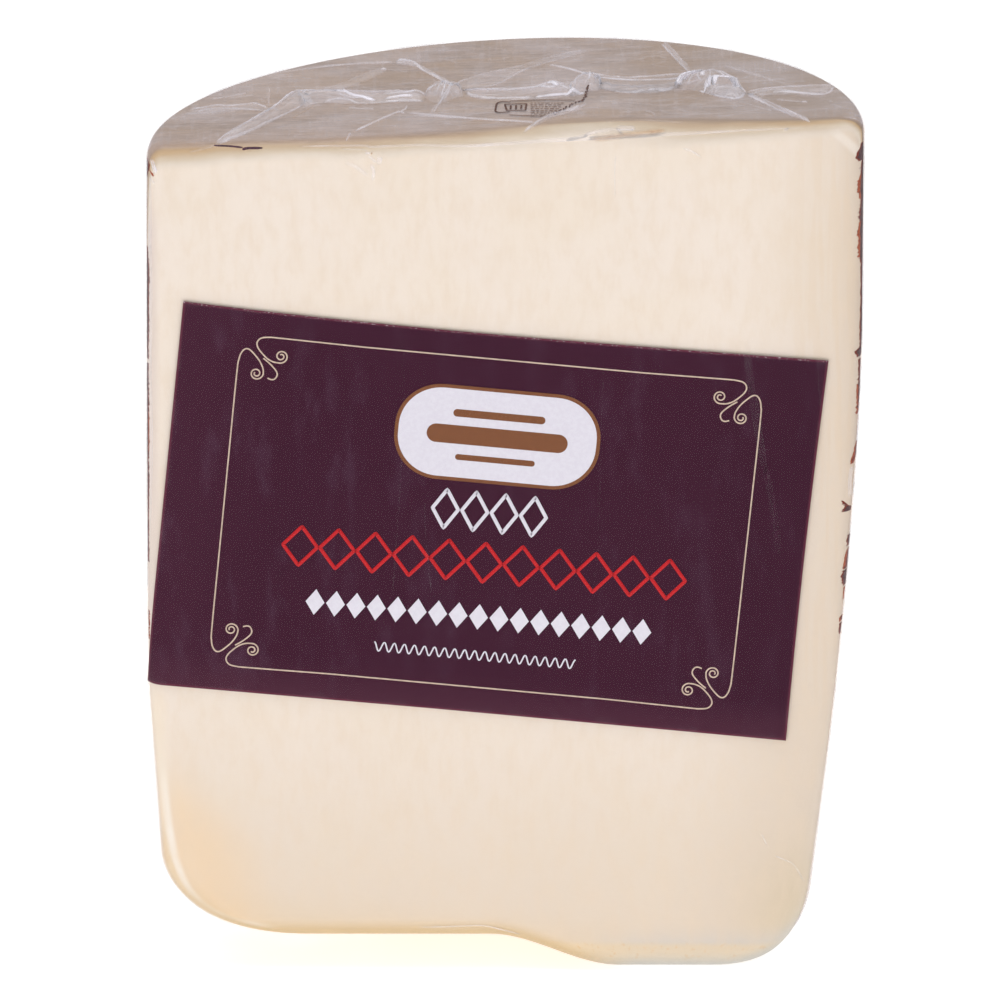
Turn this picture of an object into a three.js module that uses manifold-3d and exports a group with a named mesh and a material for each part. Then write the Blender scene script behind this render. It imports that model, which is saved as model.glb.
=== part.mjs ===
// A cut of a large provolone, shrink-wrapped in a clear bag, with a paper label under the film.
//
// The cheese was cut across, which gives the level top, and then lengthways, which gives the flat
// front. The rest is the moulded round of the rind and the rounded end of the cheese, on which it stands.
// The sealed bag and the cheese inside it are one solid, with the bag's gathered seam and its pleats
// raised on the top. Millimetres, +Z up, the cut face looks along -Y, +X to its right.

import * as THREE from "three";
import { mergeVertices } from "three/addons/utils/BufferGeometryUtils.js";
import Module from "manifold-3d";

// Driving dimensions of the cheese.
const LEFT_REACH = 117.3; // from the middle of the cut face to the rind on the left, at the widest
const RIGHT_REACH = 116.2;
const DEPTH = 101; // from the cut face to the back of the rind
const HEIGHT = 292.5; // the top above the floor, on the middle line
const TOP_SLOPE = 0.037; // the top was cut out of square and rises to the right
const BACK_SHIFT = 6; // the deepest point of the round lies to the right of the middle

// Where each side leaves its widest, over what span it narrows, by how much and how suddenly.
const RIGHT_TAPER = { from: 227, span: 174, narrows: 12.5, power: 1.54 };
const LEFT_TAPER = { from: 95.5, span: 65, narrows: 3.4, power: 1 };
const BACK_TAPER = { from: 190, span: 145, narrows: 8, power: 1.5 };
const LEFT_SHOULDER = { from: 102, span: 190, narrows: 1, power: 2 }; // this one narrows upwards

// The rounded end: how high its rounding starts on each side and how far it pulls in at the floor.
const LEFT_END = { height: 30, reach: 38 };
const RIGHT_END = { height: 27, reach: 18 };
const BACK_END = { height: 45, reach: 32 };
const FRONT_END = { height: 9, reach: 9 };
const LEFT_FOOT_LIFT = 11.5; // the left half of the front foot stands clear of the floor
const LIFT_ENDS_X = [-5, 37]; // where that lift fades out, left to right
const LIFT_DEPTH = 50; // and how far behind the cut face the cheese comes down to the floor

// Edges of the cuts.
const CUT_EDGE_RADIUS = 5;
const CUT_EDGE_EXTRA = 9.5; // the upright edges are rounder near the floor
const CUT_EDGE_SPAN = [10, 110];
const TOP_EDGE_RADIUS = 4;
const TOP_BEVEL = { x: 34, spread: 42, width: 6, drop: 3 }; // the worn stretch of the front top edge

// Label.
const LABEL_WIDTH = 210;
const LABEL_HEIGHT = 133;
const LABEL_CORNER = { x: -104.2, z: 235.6 }; // its top left corner
const LABEL_TILT = THREE.MathUtils.degToRad(-5.6);
const LABEL_THICKNESS = 0.5;
const LABEL_GAP = 0.3;

// Mesh steps.
const FRONT_STEPS = 28;
const CORNER_STEPS = 5;
const BACK_STEPS = 40;
const SIDE_RINGS = 14;
const END_RINGS = 8;
const EDGE_RINGS = 4;
const TOP_INSETS = [0.93, 0.7, 0.35];
const FOOT_INSETS = [0.93, 0.82, 0.66, 0.4];
const RING_CENTRE = { x: 2, y: 44 };

const { clamp, lerp, smoothstep } = THREE.MathUtils;

const taper = (z, t) => t.narrows * Math.pow(Math.max(0, t.from - z) / t.span, t.power);
const shoulder = (z, t) => t.narrows * Math.pow(Math.max(0, z - t.from) / t.span, t.power);
const pullIn = (above, end) => end.reach * (1 - Math.sqrt(1 - Math.max(0, 1 - above / end.height) ** 2));
const bell = (x, middle, spread) => Math.exp(-(((x - middle) / spread) ** 2));
const topAt = (x) => HEIGHT + TOP_SLOPE * x;
const leftAt = (z, above) =>
  -(LEFT_REACH - taper(z, LEFT_TAPER) - shoulder(z, LEFT_SHOULDER) - pullIn(above, LEFT_END));
const cutEdgeAt = (above) => CUT_EDGE_RADIUS + CUT_EDGE_EXTRA * (1 - smoothstep(above, ...CUT_EDGE_SPAN));

// Height of the underside over the floor.
const footAt = (x, y) =>
  LEFT_FOOT_LIFT * (1 - smoothstep(x, ...LIFT_ENDS_X)) * (1 - smoothstep(y, 0, LIFT_DEPTH));

// The level outline of the cheese as a closed loop of [x, y, share of the front edge].
// z sets the taper, above is the height over the foot, and inset pulls every side in.
function outline(z, above, inset) {
  const left = leftAt(z, above) + inset;
  const right = RIGHT_REACH - taper(z, RIGHT_TAPER) - pullIn(above, RIGHT_END) - inset;
  const back = DEPTH - taper(z, BACK_TAPER) - pullIn(above, BACK_END) - inset;
  const front = pullIn(above, FRONT_END);
  const radius = cutEdgeAt(above);
  const middle = (left + right) / 2;
  const loop = [];
  for (let i = 0; i < FRONT_STEPS; i++)
    loop.push([lerp(left + radius, right - radius, i / FRONT_STEPS), front, 1]);
  for (let i = 0; i < CORNER_STEPS; i++) {
    const a = (i / CORNER_STEPS) * (Math.PI / 2);
    loop.push([right - radius + radius * Math.sin(a), front + radius * (1 - Math.cos(a)), Math.cos(a)]);
  }
  for (let i = 0; i < BACK_STEPS; i++) {
    const a = (i / BACK_STEPS) * Math.PI;
    const x = middle + ((right - left) / 2) * Math.cos(a) + BACK_SHIFT * Math.sin(a) ** 2;
    loop.push([x, front + radius + (back - front - radius) * Math.sin(a), 0]);
  }
  for (let i = 0; i < CORNER_STEPS; i++) {
    const a = (i / CORNER_STEPS) * (Math.PI / 2);
    loop.push([left + radius - radius * Math.cos(a), front + radius * (1 - Math.sin(a)), Math.sin(a)]);
  }
  return loop;
}

// The rings of the skin, from the top edge down to the foot, each a loop of [x, y, z].
function skinRings() {
  const rings = [];
  for (let i = EDGE_RINGS; i > 0; i--) {
    const a = (i / EDGE_RINGS) * (Math.PI / 2);
    const [inward, down] = [1 - Math.cos(a), 1 - Math.sin(a)];
    rings.push(
      outline(HEIGHT, HEIGHT, TOP_EDGE_RADIUS * inward).map(([x, y, front]) => {
        const worn = front * bell(x, TOP_BEVEL.x, TOP_BEVEL.spread);
        const edgeDrop = TOP_EDGE_RADIUS + TOP_BEVEL.drop * worn;
        const edgeInset = TOP_EDGE_RADIUS * front + TOP_BEVEL.width * worn;
        return [x, y + edgeInset * inward, topAt(x) - edgeDrop * down];
      }),
    );
  }
  for (let i = 0; i < SIDE_RINGS; i++) {
    const share = i / SIDE_RINGS;
    const level = lerp(HEIGHT - TOP_EDGE_RADIUS, BACK_END.height, share);
    rings.push(
      outline(level, level, 0).map(([x, y, front]) => {
        const worn = front * bell(x, TOP_BEVEL.x, TOP_BEVEL.spread) * TOP_BEVEL.drop;
        const high = topAt(x) - TOP_EDGE_RADIUS - worn;
        return [x, y, lerp(high, footAt(x, y) + BACK_END.height, share)];
      }),
    );
  }
  for (let i = 0; i <= END_RINGS; i++) {
    const above = BACK_END.height * (1 - Math.sin((i / END_RINGS) * (Math.PI / 2)));
    rings.push(outline(above, above, 0).map(([x, y]) => [x, y, footAt(x, y) + above]));
  }
  return rings;
}

// Rings inside a given one, shrunk towards the middle, on the height that heightAt gives.
const insideRings = (ring, insets, heightAt) =>
  insets.map((share) =>
    ring.map(([x, y]) => {
      const [nx, ny] = [lerp(RING_CENTRE.x, x, share), lerp(RING_CENTRE.y, y, share)];
      return [nx, ny, heightAt(nx, ny)];
    }),
  );

const meshOf = (positions, index) =>
  new THREE.BufferGeometry()
    .setAttribute("position", new THREE.BufferAttribute(new Float32Array(positions), 3))
    .setIndex(index);

// A closed mesh from stacked rings of equal length, with a single point at each end.
function stackedMesh(rings, first, last) {
  const count = rings[0].length;
  const positions = [first, ...rings.flat(), last].flat();
  const index = [];
  const at = (ring, i) => 1 + ring * count + (i % count);
  const lastPoint = 1 + rings.length * count;
  for (let i = 0; i < count; i++) {
    index.push(0, at(0, i), at(0, i + 1));
    index.push(lastPoint, at(rings.length - 1, i + 1), at(rings.length - 1, i));
    for (let r = 0; r + 1 < rings.length; r++) {
      index.push(at(r, i), at(r + 1, i), at(r + 1, i + 1));
      index.push(at(r, i), at(r + 1, i + 1), at(r, i + 1));
    }
  }
  return meshOf(positions, index);
}

function cheeseBody() {
  const skin = skinRings();
  const top = insideRings(skin[0], TOP_INSETS, (x) => topAt(x)).reverse();
  const foot = insideRings(skin[skin.length - 1], FOOT_INSETS, footAt);
  const { x, y } = RING_CENTRE;
  return stackedMesh([...top, ...skin, ...foot], [x, y, topAt(x)], [x, y, footAt(x, y)]);
}

// The folds of the bag on the top. Each runs along a curve through its points and is width wide and
// height high in its middle, and thins out towards the ends it is given.
const SEAM_HEIGHT = 2.6;
const FOLDS = [
  // The gathered seam, from the left edge to the right one.
  { path: [[-107, 39], [-96, 42], [-84, 41], [-74, 43], [-67, 49]], width: [3, 7], height: [0.6, SEAM_HEIGHT] },
  { path: [[-67, 49], [-56, 47], [-43, 44], [-30, 45], [-20, 48]], width: [8, 8], height: [SEAM_HEIGHT, 2] },
  { path: [[-20, 48], [-6, 46], [6, 44], [16, 48], [26, 50]], width: [9, 9], height: [3.2, 3.2] },
  { path: [[26, 50], [38, 50], [50, 49], [64, 51]], width: [9, 10], height: [3.2, 3.4] },
  { path: [[64, 51], [71, 44], [78, 37], [92, 34], [108, 36]], width: [10, 5], height: [3.4, 0.7] },
  // Pleats that run from the seam to the front edge.
  { path: [[-95, 4], [-85, 22], [-72, 44]], width: [1.5, 12], height: [0.4, 2] },
  { path: [[-33, 40], [-34, 30], [-43, 20], [-51, 8]], width: [2.5, 1.6], height: [1.3, 0.5] },
  { path: [[-34, 28], [-12, 20], [11, 14]], width: [2.4, 2], height: [1, 0.7] },
  { path: [[6, 4], [12, 16], [20, 28], [25, 40]], width: [1.6, 2.6], height: [0.5, 1.4] },
  { path: [[79, 34], [89, 20], [99, 4]], width: [4, 1.5], height: [1.6, 0.4] },
  // Pleats that run from the seam to the back edge.
  { path: [[-60, 50], [-50, 64], [-41, 74]], width: [6, 2], height: [1.4, 0.4] },
  { path: [[-19, 54], [-27, 70], [-38, 87]], width: [4, 2.4], height: [1.8, 0.5] },
  { path: [[-17, 54], [-2, 65], [13, 73], [28, 84]], width: [8, 2], height: [1.8, 0.4] },
  { path: [[15, 69], [28, 60], [44, 55], [60, 57]], width: [2, 4], height: [0.8, 1.6] },
  { path: [[61, 56], [57, 70], [50, 89]], width: [3.6, 2], height: [1.6, 0.5] },
];
const FOLD_STEPS = 9; // along each fold
const FOLD_ROOT = 1.2; // how deep a fold reaches into the top, so that it joins it all over

// The knots of film where pleats meet on the seam.
const KNOTS = [
  { x: -20, y: 48, radius: 6.5, height: 4.2 },
  { x: 26, y: 50, radius: 7, height: 4.8 },
  { x: 64, y: 51, radius: 8.5, height: 5.2 },
];

function foldSolid({ path, width, height }) {
  const curve = new THREE.CatmullRomCurve3(path.map(([x, y]) => new THREE.Vector3(x, y, 0)));
  const rings = [];
  const ends = [];
  for (let i = 0; i <= FOLD_STEPS; i++) {
    const share = i / FOLD_STEPS;
    const p = curve.getPointAt(share);
    const t = curve.getTangentAt(share);
    const half = lerp(...width, share) / 2;
    const crest = lerp(...height, share);
    const section = [
      [half, 0],
      [half, -FOLD_ROOT],
      [-half, -FOLD_ROOT],
      [-half, 0],
      [-half * 0.45, crest * 0.85],
      [0, crest],
      [half * 0.45, crest * 0.85],
    ];
    rings.push(section.map(([side, up]) => [p.x - t.y * side, p.y + t.x * side, topAt(p.x) + up]));
    ends.push([p.x, p.y, topAt(p.x)]);
  }
  return stackedMesh(rings, ends[0], ends[FOLD_STEPS]);
}

function knotSolid({ x, y, radius, height }) {
  return new THREE.SphereGeometry(1, 14, 8)
    .scale(radius, radius * 0.85, height)
    .translate(x, y, topAt(x));
}

// A point of the label: across and down from its top left corner, out from the cut face.
// Past the upright edge on the left the paper bends round the cheese with the film.
function labelPoint(across, down, out) {
  const x = LABEL_CORNER.x + across * Math.cos(LABEL_TILT) + down * Math.sin(LABEL_TILT);
  const z = LABEL_CORNER.z + across * Math.sin(LABEL_TILT) - down * Math.cos(LABEL_TILT);
  const radius = cutEdgeAt(z);
  const edge = leftAt(z, z) + radius;
  if (x >= edge) return [x, -out, z];
  const angle = (edge - x) / (radius + LABEL_GAP);
  return [edge - (radius + out) * Math.sin(angle), radius - (radius + out) * Math.cos(angle), z];
}

// The paper as a closed sheet: its front, its back and a rim that joins them.
function labelSolid() {
  const across = [0, 1.5, 3, 4.5, 6, 8, 10, 14, 60, 110, 160, LABEL_WIDTH];
  const columns = across.length;
  const rows = 15;
  const positions = [];
  for (const out of [LABEL_GAP + LABEL_THICKNESS, LABEL_GAP])
    for (let row = 0; row < rows; row++)
      for (const a of across) positions.push(...labelPoint(a, (LABEL_HEIGHT * row) / (rows - 1), out));
  const front = (row, column) => row * columns + column;
  const back = (row, column) => (rows + row) * columns + column;
  const index = [];
  const quad = (a, b, c, d) => index.push(a, b, c, a, c, d);
  for (let r = 0; r + 1 < rows; r++) {
    for (let c = 0; c + 1 < columns; c++) {
      quad(front(r, c), front(r + 1, c), front(r + 1, c + 1), front(r, c + 1));
      quad(back(r, c), back(r, c + 1), back(r + 1, c + 1), back(r + 1, c));
    }
    quad(front(r, 0), back(r, 0), back(r + 1, 0), front(r + 1, 0));
    quad(front(r, columns - 1), front(r + 1, columns - 1), back(r + 1, columns - 1), back(r, columns - 1));
  }
  for (let c = 0; c + 1 < columns; c++) {
    quad(front(0, c), front(0, c + 1), back(0, c + 1), back(0, c));
    quad(front(rows - 1, c), back(rows - 1, c), back(rows - 1, c + 1), front(rows - 1, c + 1));
  }
  return meshOf(positions, index);
}

const wasm = await Module();
wasm.setup();

function toManifold(geometry) {
  const bare = geometry.clone();
  bare.deleteAttribute("normal");
  bare.deleteAttribute("uv");
  const merged = mergeVertices(bare, 1e-4);
  return new wasm.Manifold(
    new wasm.Mesh({
      numProp: 3,
      vertProperties: merged.attributes.position.array,
      triVerts: new Uint32Array(merged.index.array),
    }),
  );
}

function toGeometry(solid) {
  const mesh = solid.getMesh();
  const geometry = new THREE.BufferGeometry()
    .setAttribute("position", new THREE.BufferAttribute(mesh.vertProperties, 3))
    .setIndex(new THREE.BufferAttribute(mesh.triVerts, 1));
  geometry.computeVertexNormals();
  return geometry;
}

const folds = [...FOLDS.map(foldSolid), ...KNOTS.map(knotSolid)];
const packSolid = folds.reduce((joined, fold) => joined.add(toManifold(fold)), toManifold(cheeseBody()));

const cheeseMaterial = new THREE.MeshStandardMaterial({ color: 0xf1e2d3, roughness: 0.35, metalness: 0 });
const labelMaterial = new THREE.MeshStandardMaterial({ color: 0x442236, roughness: 0.45, metalness: 0 });

const pack = new THREE.Mesh(toGeometry(packSolid), cheeseMaterial);
pack.name = "vacuum_pack";

const label = new THREE.Mesh(labelSolid(), labelMaterial);
label.geometry.computeVertexNormals();
label.name = "label";

// The origin is on the floor, under the middle of the whole.
const provolone = new THREE.Group();
provolone.add(pack, label);
const box = new THREE.Box3().setFromObject(provolone);
const middle = box.getCenter(new THREE.Vector3());
for (const mesh of provolone.children) mesh.position.set(-middle.x, -middle.y, -box.min.z);

export default provolone;
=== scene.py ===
"""A cut block of aged provolone in clear shrink film, with a paper label under the film.

Shapes are worked out in millimetres on the cheese's own axes: x runs along the cut face from its
middle, y goes back from the cut face, z goes up from the floor. place() turns them into the part's frame.
"""

import math

import bpy
import numpy as np
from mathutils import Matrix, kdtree


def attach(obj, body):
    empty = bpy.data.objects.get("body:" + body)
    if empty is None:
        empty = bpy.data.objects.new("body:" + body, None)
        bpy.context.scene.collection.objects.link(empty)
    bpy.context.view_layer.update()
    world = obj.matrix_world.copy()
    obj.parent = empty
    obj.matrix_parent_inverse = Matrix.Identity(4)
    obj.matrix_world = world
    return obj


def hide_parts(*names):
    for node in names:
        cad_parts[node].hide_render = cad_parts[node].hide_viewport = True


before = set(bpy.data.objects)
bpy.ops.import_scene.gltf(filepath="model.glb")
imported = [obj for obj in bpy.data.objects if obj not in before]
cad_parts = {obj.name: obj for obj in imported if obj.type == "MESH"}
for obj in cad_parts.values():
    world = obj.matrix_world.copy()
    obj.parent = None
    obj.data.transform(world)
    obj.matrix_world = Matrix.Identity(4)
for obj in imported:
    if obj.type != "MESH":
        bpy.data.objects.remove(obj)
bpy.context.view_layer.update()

# ---------------------------------------------------------------- sizes of the cheese, in millimetres

LEFT_REACH = 117.3
RIGHT_REACH = 116.2
DEPTH = 101.0
HEIGHT = 292.5
TOP_SLOPE = 0.037
BACK_SHIFT = 6.0

# Where a side leaves its widest, over what span it narrows, by how much and how suddenly.
RIGHT_TAPER = (227.0, 174.0, 12.5, 1.54)
LEFT_TAPER = (95.5, 65.0, 3.4, 1.0)
BACK_TAPER = (190.0, 145.0, 8.0, 1.5)
LEFT_SHOULDER = (102.0, 190.0, 1.0, 2.0)

# The rounded end: the height at which each side's rounding starts, and how far it pulls in.
LEFT_END = (30.0, 38.0)
RIGHT_END = (27.0, 18.0)
BACK_END = (45.0, 32.0)
FRONT_END = (9.0, 9.0)
LEFT_FOOT_LIFT = 11.5
LIFT_ENDS_X = (-5.0, 37.0)
LIFT_DEPTH = 50.0

CUT_EDGE_RADIUS = 5.0
CUT_EDGE_EXTRA = 9.5
CUT_EDGE_SPAN = (10.0, 110.0)
TOP_EDGE_RADIUS = 4.0
BEVEL_X, BEVEL_SPREAD, BEVEL_WIDTH, BEVEL_DROP = 34.0, 42.0, 6.0, 3.0
MIDDLE = (2.0, 44.0)

LABEL_WIDTH = 210.0
LABEL_HEIGHT = 133.0
LABEL_CORNER = (-104.2, 235.6)
LABEL_TILT = math.radians(-5.6)
LABEL_GAP = 0.3
LABEL_FRONT = 0.8  # the face of the paper, out from the cut face

PAPER_FRONT = 0.5  # where the face of the drawn paper lies

CHEESE_INSET = 0.35  # the cheese lies this far inside the pack's outer size
CORNER_INSET = 0.2  # and this much more where the film is stretched over its upright corners
FILM_OVER_LABEL = 0.85
PRINT_ROUND = 350.0  # the length of the print round the rind
EDGE_SPAN = 6.0  # how much of a path over the top edge is on the rounding itself
INK_HEIGHT = 0.06  # how far a stroke of ink stands off what it is on

FRONT_STEPS = 120
CORNER_STEPS = 12
BACK_STEPS = 170
EDGE_RINGS = 16
SIDE_RINGS = 84
END_RINGS = 24

# The box of the whole is centred on the origin, so the cheese's axes are shifted by this much.
SHIFT = np.array([(LEFT_REACH - RIGHT_REACH) / 2, (LABEL_FRONT - DEPTH) / 2, 0.0])
MM = 0.001


def place(points):
    """Points in millimetres on the cheese's axes as metres in the part's frame."""
    return (np.asarray(points, float) + SHIFT) * MM


# ---------------------------------------------------------------- shape of the cheese


def smooth(x, low, high):
    """A smooth rise from 0 at low to 1 at high; a fall where low is the larger."""
    t = np.clip((x - low) / (high - low), 0.0, 1.0)
    return t * t * (3.0 - 2.0 * t)


def taper(z, start, span, narrows, power):
    """How much narrower a side is at a height, below where it starts to narrow."""
    return narrows * (np.maximum(0.0, start - z) / span) ** power


def pull_in(above, height, reach):
    """How far a side's rounding pulls in, at a height above its foot."""
    return reach * (1.0 - np.sqrt(1.0 - np.clip(1.0 - above / height, 0.0, 1.0) ** 2))


def top_at(x):
    """Height of the level cut, which slopes up to the right."""
    return HEIGHT + TOP_SLOPE * x


def worn_at(x):
    """How worn the front top edge is, 0 to 1."""
    return np.exp(-(((x - BEVEL_X) / BEVEL_SPREAD) ** 2))


def foot_at(x, y):
    """Height of the underside over the floor."""
    return LEFT_FOOT_LIFT * (1.0 - smooth(x, *LIFT_ENDS_X)) * (1.0 - smooth(y, 0.0, LIFT_DEPTH))


def left_at(z, above):
    """Where the left side is at a height, which lies above the foot by so much."""
    start, span, narrows, power = LEFT_SHOULDER
    shoulder = narrows * (np.maximum(0.0, z - start) / span) ** power
    return -(LEFT_REACH - taper(z, *LEFT_TAPER) - shoulder - pull_in(above, *LEFT_END))


def right_at(z, above):
    """The same for the right side."""
    return RIGHT_REACH - taper(z, *RIGHT_TAPER) - pull_in(above, *RIGHT_END)


def cut_edge_at(above):
    """The rounding of the upright corners, which grows towards the foot."""
    return CUT_EDGE_RADIUS + CUT_EDGE_EXTRA * (1.0 - smooth(above, *CUT_EDGE_SPAN))


def outline(z, above, inset=0.0):
    """The level outline as x, y and the share of the cut face, from the left end of the cut face round."""
    left, right = left_at(z, above) + inset, right_at(z, above) - inset
    back = DEPTH - taper(z, *BACK_TAPER) - pull_in(above, *BACK_END) - inset
    front, radius = pull_in(above, *FRONT_END), cut_edge_at(above)
    along = np.arange(FRONT_STEPS) / FRONT_STEPS
    turn = np.arange(CORNER_STEPS) / CORNER_STEPS * math.pi / 2
    sweep = np.arange(BACK_STEPS) / BACK_STEPS * math.pi
    across = (left + right) / 2 + (right - left) / 2 * np.cos(sweep)
    x = np.concatenate(
        [
            left + radius + (right - left - 2 * radius) * along,
            right - radius + radius * np.sin(turn),
            across + BACK_SHIFT * np.sin(sweep) ** 2,
            left + radius - radius * np.cos(turn),
        ]
    )
    y = np.concatenate(
        [
            np.full(FRONT_STEPS, front),
            front + radius * (1.0 - np.cos(turn)),
            front + radius + (back - front - radius) * np.sin(sweep),
            front + radius * (1.0 - np.sin(turn)),
        ]
    )
    share = np.concatenate([np.ones(FRONT_STEPS), np.cos(turn), np.zeros(BACK_STEPS), np.sin(turn)])
    return x, y, share


def skin_rings():
    """The rings of the skin from the top edge down to the foot, and how far each point is over the edge."""
    rings, over = [], []
    for turn in np.linspace(1.0, 0.0, EDGE_RINGS, endpoint=False) * math.pi / 2:
        inward, down = 1.0 - math.cos(turn), 1.0 - math.sin(turn)
        x, y, share = outline(HEIGHT, HEIGHT, TOP_EDGE_RADIUS * inward)
        worn = share * worn_at(x)
        y = y + (TOP_EDGE_RADIUS * share + BEVEL_WIDTH * worn) * inward
        rings.append(np.stack([x, y, top_at(x) - (TOP_EDGE_RADIUS + BEVEL_DROP * worn) * down], 1))
        over.append(np.full(len(x), EDGE_SPAN * turn / (math.pi / 2)))
    for share_down in np.linspace(0.0, 1.0, SIDE_RINGS, endpoint=False):
        level = HEIGHT - TOP_EDGE_RADIUS + (BACK_END[0] - HEIGHT + TOP_EDGE_RADIUS) * share_down
        x, y, share = outline(level, level)
        high = top_at(x) - TOP_EDGE_RADIUS - BEVEL_DROP * share * worn_at(x)
        z = high + (foot_at(x, y) + BACK_END[0] - high) * share_down
        rings.append(np.stack([x, y, z], 1))
        over.append(z - high)
    for turn in np.linspace(0.0, 1.0, END_RINGS + 1) * math.pi / 2:
        above = BACK_END[0] * (1.0 - math.sin(turn))
        x, y, _ = outline(above, above)
        rings.append(np.stack([x, y, foot_at(x, y) + above], 1))
        over.append(np.full(len(x), -HEIGHT))
    return np.array(rings), np.array(over)


def inside_rings(ring, shares, height_at):
    """Smaller and smaller copies of a ring round the middle, at the heights that height_at gives."""
    rings = []
    for share in shares:
        xy = np.array(MIDDLE) + (ring[:, :2] - MIDDLE) * share
        rings.append(np.column_stack([xy, height_at(xy[:, 0], xy[:, 1])]))
    return np.array(rings)


def ring_normals(rings):
    """Outward unit normals of stacked rings."""
    around = np.roll(rings, -1, 1) - np.roll(rings, 1, 1)
    normals = np.cross(np.gradient(rings, axis=0), around)
    return normals / np.maximum(np.linalg.norm(normals, axis=2, keepdims=True), 1e-9)


def ripples(points, wavelength, seed, waves=7):
    """A smooth random field over points, about -1 to 1."""
    chance = np.random.default_rng(seed)
    field = np.zeros(points.shape[:-1])
    for _ in range(waves):
        way = chance.normal(size=3)
        way *= 2 * math.pi / (wavelength * chance.uniform(0.6, 1.6) * np.linalg.norm(way))
        field += np.sin(points @ way + chance.uniform(0, 2 * math.pi))
    return field / math.sqrt(waves * 2)


SKIN, SKIN_OVER = skin_rings()
TOP = inside_rings(SKIN[0], np.linspace(0.08, 0.97, 14), lambda x, y: top_at(x))
FOOT = inside_rings(SKIN[-1], np.linspace(0.95, 0.08, 14), foot_at)
RINGS = np.concatenate([TOP, SKIN, FOOT])
NORMALS = ring_normals(RINGS)
TOP_OVER = EDGE_SPAN + np.maximum(TOP[..., 1] - TOP_EDGE_RADIUS - BEVEL_WIDTH * worn_at(TOP[..., 0]), 0.0)
OVER_EDGE = np.concatenate([TOP_OVER, SKIN_OVER, np.full(FOOT.shape[:2], -HEIGHT)])
# The rind is a little dented; both cuts are flat.
DENTS = 0.3 * ripples(RINGS, 55, 3) + 0.14 * ripples(RINGS, 17, 5)
DENTS = DENTS * smooth(RINGS[..., 1], 14, 30) * smooth(OVER_EDGE, 0, -14) * smooth(RINGS[..., 2], 1, 12)


def bent_edge(depth, reach):
    """The angle over a rounding of a reach, from the depth inwards that is still flat."""
    return np.arcsin(np.clip(depth / reach, 0.0, 1.0))


def on_front(x, z, out):
    """A point over the cut face, its two upright corners and its top edge, out millimetres from the film."""
    radius, worn = cut_edge_at(z), worn_at(x)
    left, right = left_at(z, z - foot_at(x, 0 * x)), right_at(z, z - foot_at(x, 0 * x))
    side = np.where(x < 0, -1.0, 1.0)
    turn = np.where(x < 0, bent_edge(left + radius - x, radius), bent_edge(x - right + radius, radius))
    drop = TOP_EDGE_RADIUS + BEVEL_DROP * worn
    tip = bent_edge(z - top_at(x) + drop, drop)
    y = pull_in(z - foot_at(x, 0 * x), *FRONT_END) + radius * (1 - np.cos(turn))
    y = y + (TOP_EDGE_RADIUS + BEVEL_WIDTH * worn) * (1 - np.cos(tip))
    lift = out + film_lift(np.stack([x, y, z], -1))
    flat = np.cos(tip) * lift
    return np.stack([x + side * np.sin(turn) * flat, y - np.cos(turn) * flat, z + np.sin(tip) * lift], -1)


def on_top(x, y, out):
    """A point over the top cut."""
    return np.stack([x, y, top_at(x) + out], -1)


def on_edge(x, over, out):
    """A point over the front top edge: up from the cut face, round the edge and on to the top."""
    worn, turn = worn_at(x), np.clip(over / EDGE_SPAN, 0, 1) * math.pi / 2
    y = (TOP_EDGE_RADIUS + BEVEL_WIDTH * worn) * (1 - np.cos(turn)) + np.maximum(over - EDGE_SPAN, 0)
    z = top_at(x) - (TOP_EDGE_RADIUS + BEVEL_DROP * worn) * (1 - np.sin(turn)) + np.minimum(over, 0)
    return np.stack([x, y - out * np.cos(turn), z + out * np.sin(turn)], -1)


def on_corner(side, around, z, out):
    """A point round an upright corner of the cut face, from its start back on to the rind."""
    radius = cut_edge_at(z)
    turn = np.minimum(around / radius, math.pi / 2)
    past = np.maximum(around - radius * math.pi / 2, 0) / (DEPTH - radius)
    edge = np.where(side > 0, right_at(z, z), left_at(z, z))
    x = edge - side * (radius * (1 - np.sin(turn)) + (LEFT_REACH - 2 * side * BACK_SHIFT) * past**2 / 2)
    y = radius * (1 - np.cos(turn)) + past * (DEPTH - radius)
    return np.stack([x + side * out * np.sin(turn), y - out * np.cos(turn), z], -1)


def cheese_inset(share):
    """How far the cheese lies inside the pack, by the share of the cut face in the way it looks."""
    return CHEESE_INSET + CORNER_INSET * smooth(share, 0.85, 0.35)


def on_corner_cheese(side, around, z, out):
    """A point round an upright corner of the cheese itself."""
    turn = np.minimum(around / cut_edge_at(z), math.pi / 2)
    return on_corner(side, around, z, out - cheese_inset(np.cos(turn)))


def label_place(points):
    """How far across and down the label a point lies, measured round the left corner."""
    x, y, z = points[..., 0], points[..., 1], points[..., 2]
    radius = cut_edge_at(z)
    edge = left_at(z, z) + radius
    angle = np.arctan2(np.maximum(edge - x, 0.0), np.maximum(radius - y, 1e-6))
    x = np.where((x < edge) & (y < 40), edge - angle * radius, x)
    x = np.where(y > 20, -200.0, x)
    dx, dz = x - LABEL_CORNER[0], z - LABEL_CORNER[1]
    across = dx * math.cos(LABEL_TILT) + dz * math.sin(LABEL_TILT)
    down = dx * math.sin(LABEL_TILT) - dz * math.cos(LABEL_TILT)
    return across, down


def off_label(points):
    """How far outside the label a point lies."""
    across, down = label_place(points)
    return np.hypot(
        np.maximum(0, np.maximum(-across, across - LABEL_WIDTH)),
        np.maximum(0, np.maximum(-down, down - LABEL_HEIGHT)),
    )


def film_lift(points):
    """How far the film stands off the pack's skin: it bridges the edge of the label and lies on its face."""
    return FILM_OVER_LABEL * smooth(off_label(points), 5.0, 0.3)


# ---------------------------------------------------------------- meshes


def linked(name, data):
    """A new object in the scene."""
    thing = bpy.data.objects.new(name, data)
    bpy.context.scene.collection.objects.link(thing)
    return thing


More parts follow.
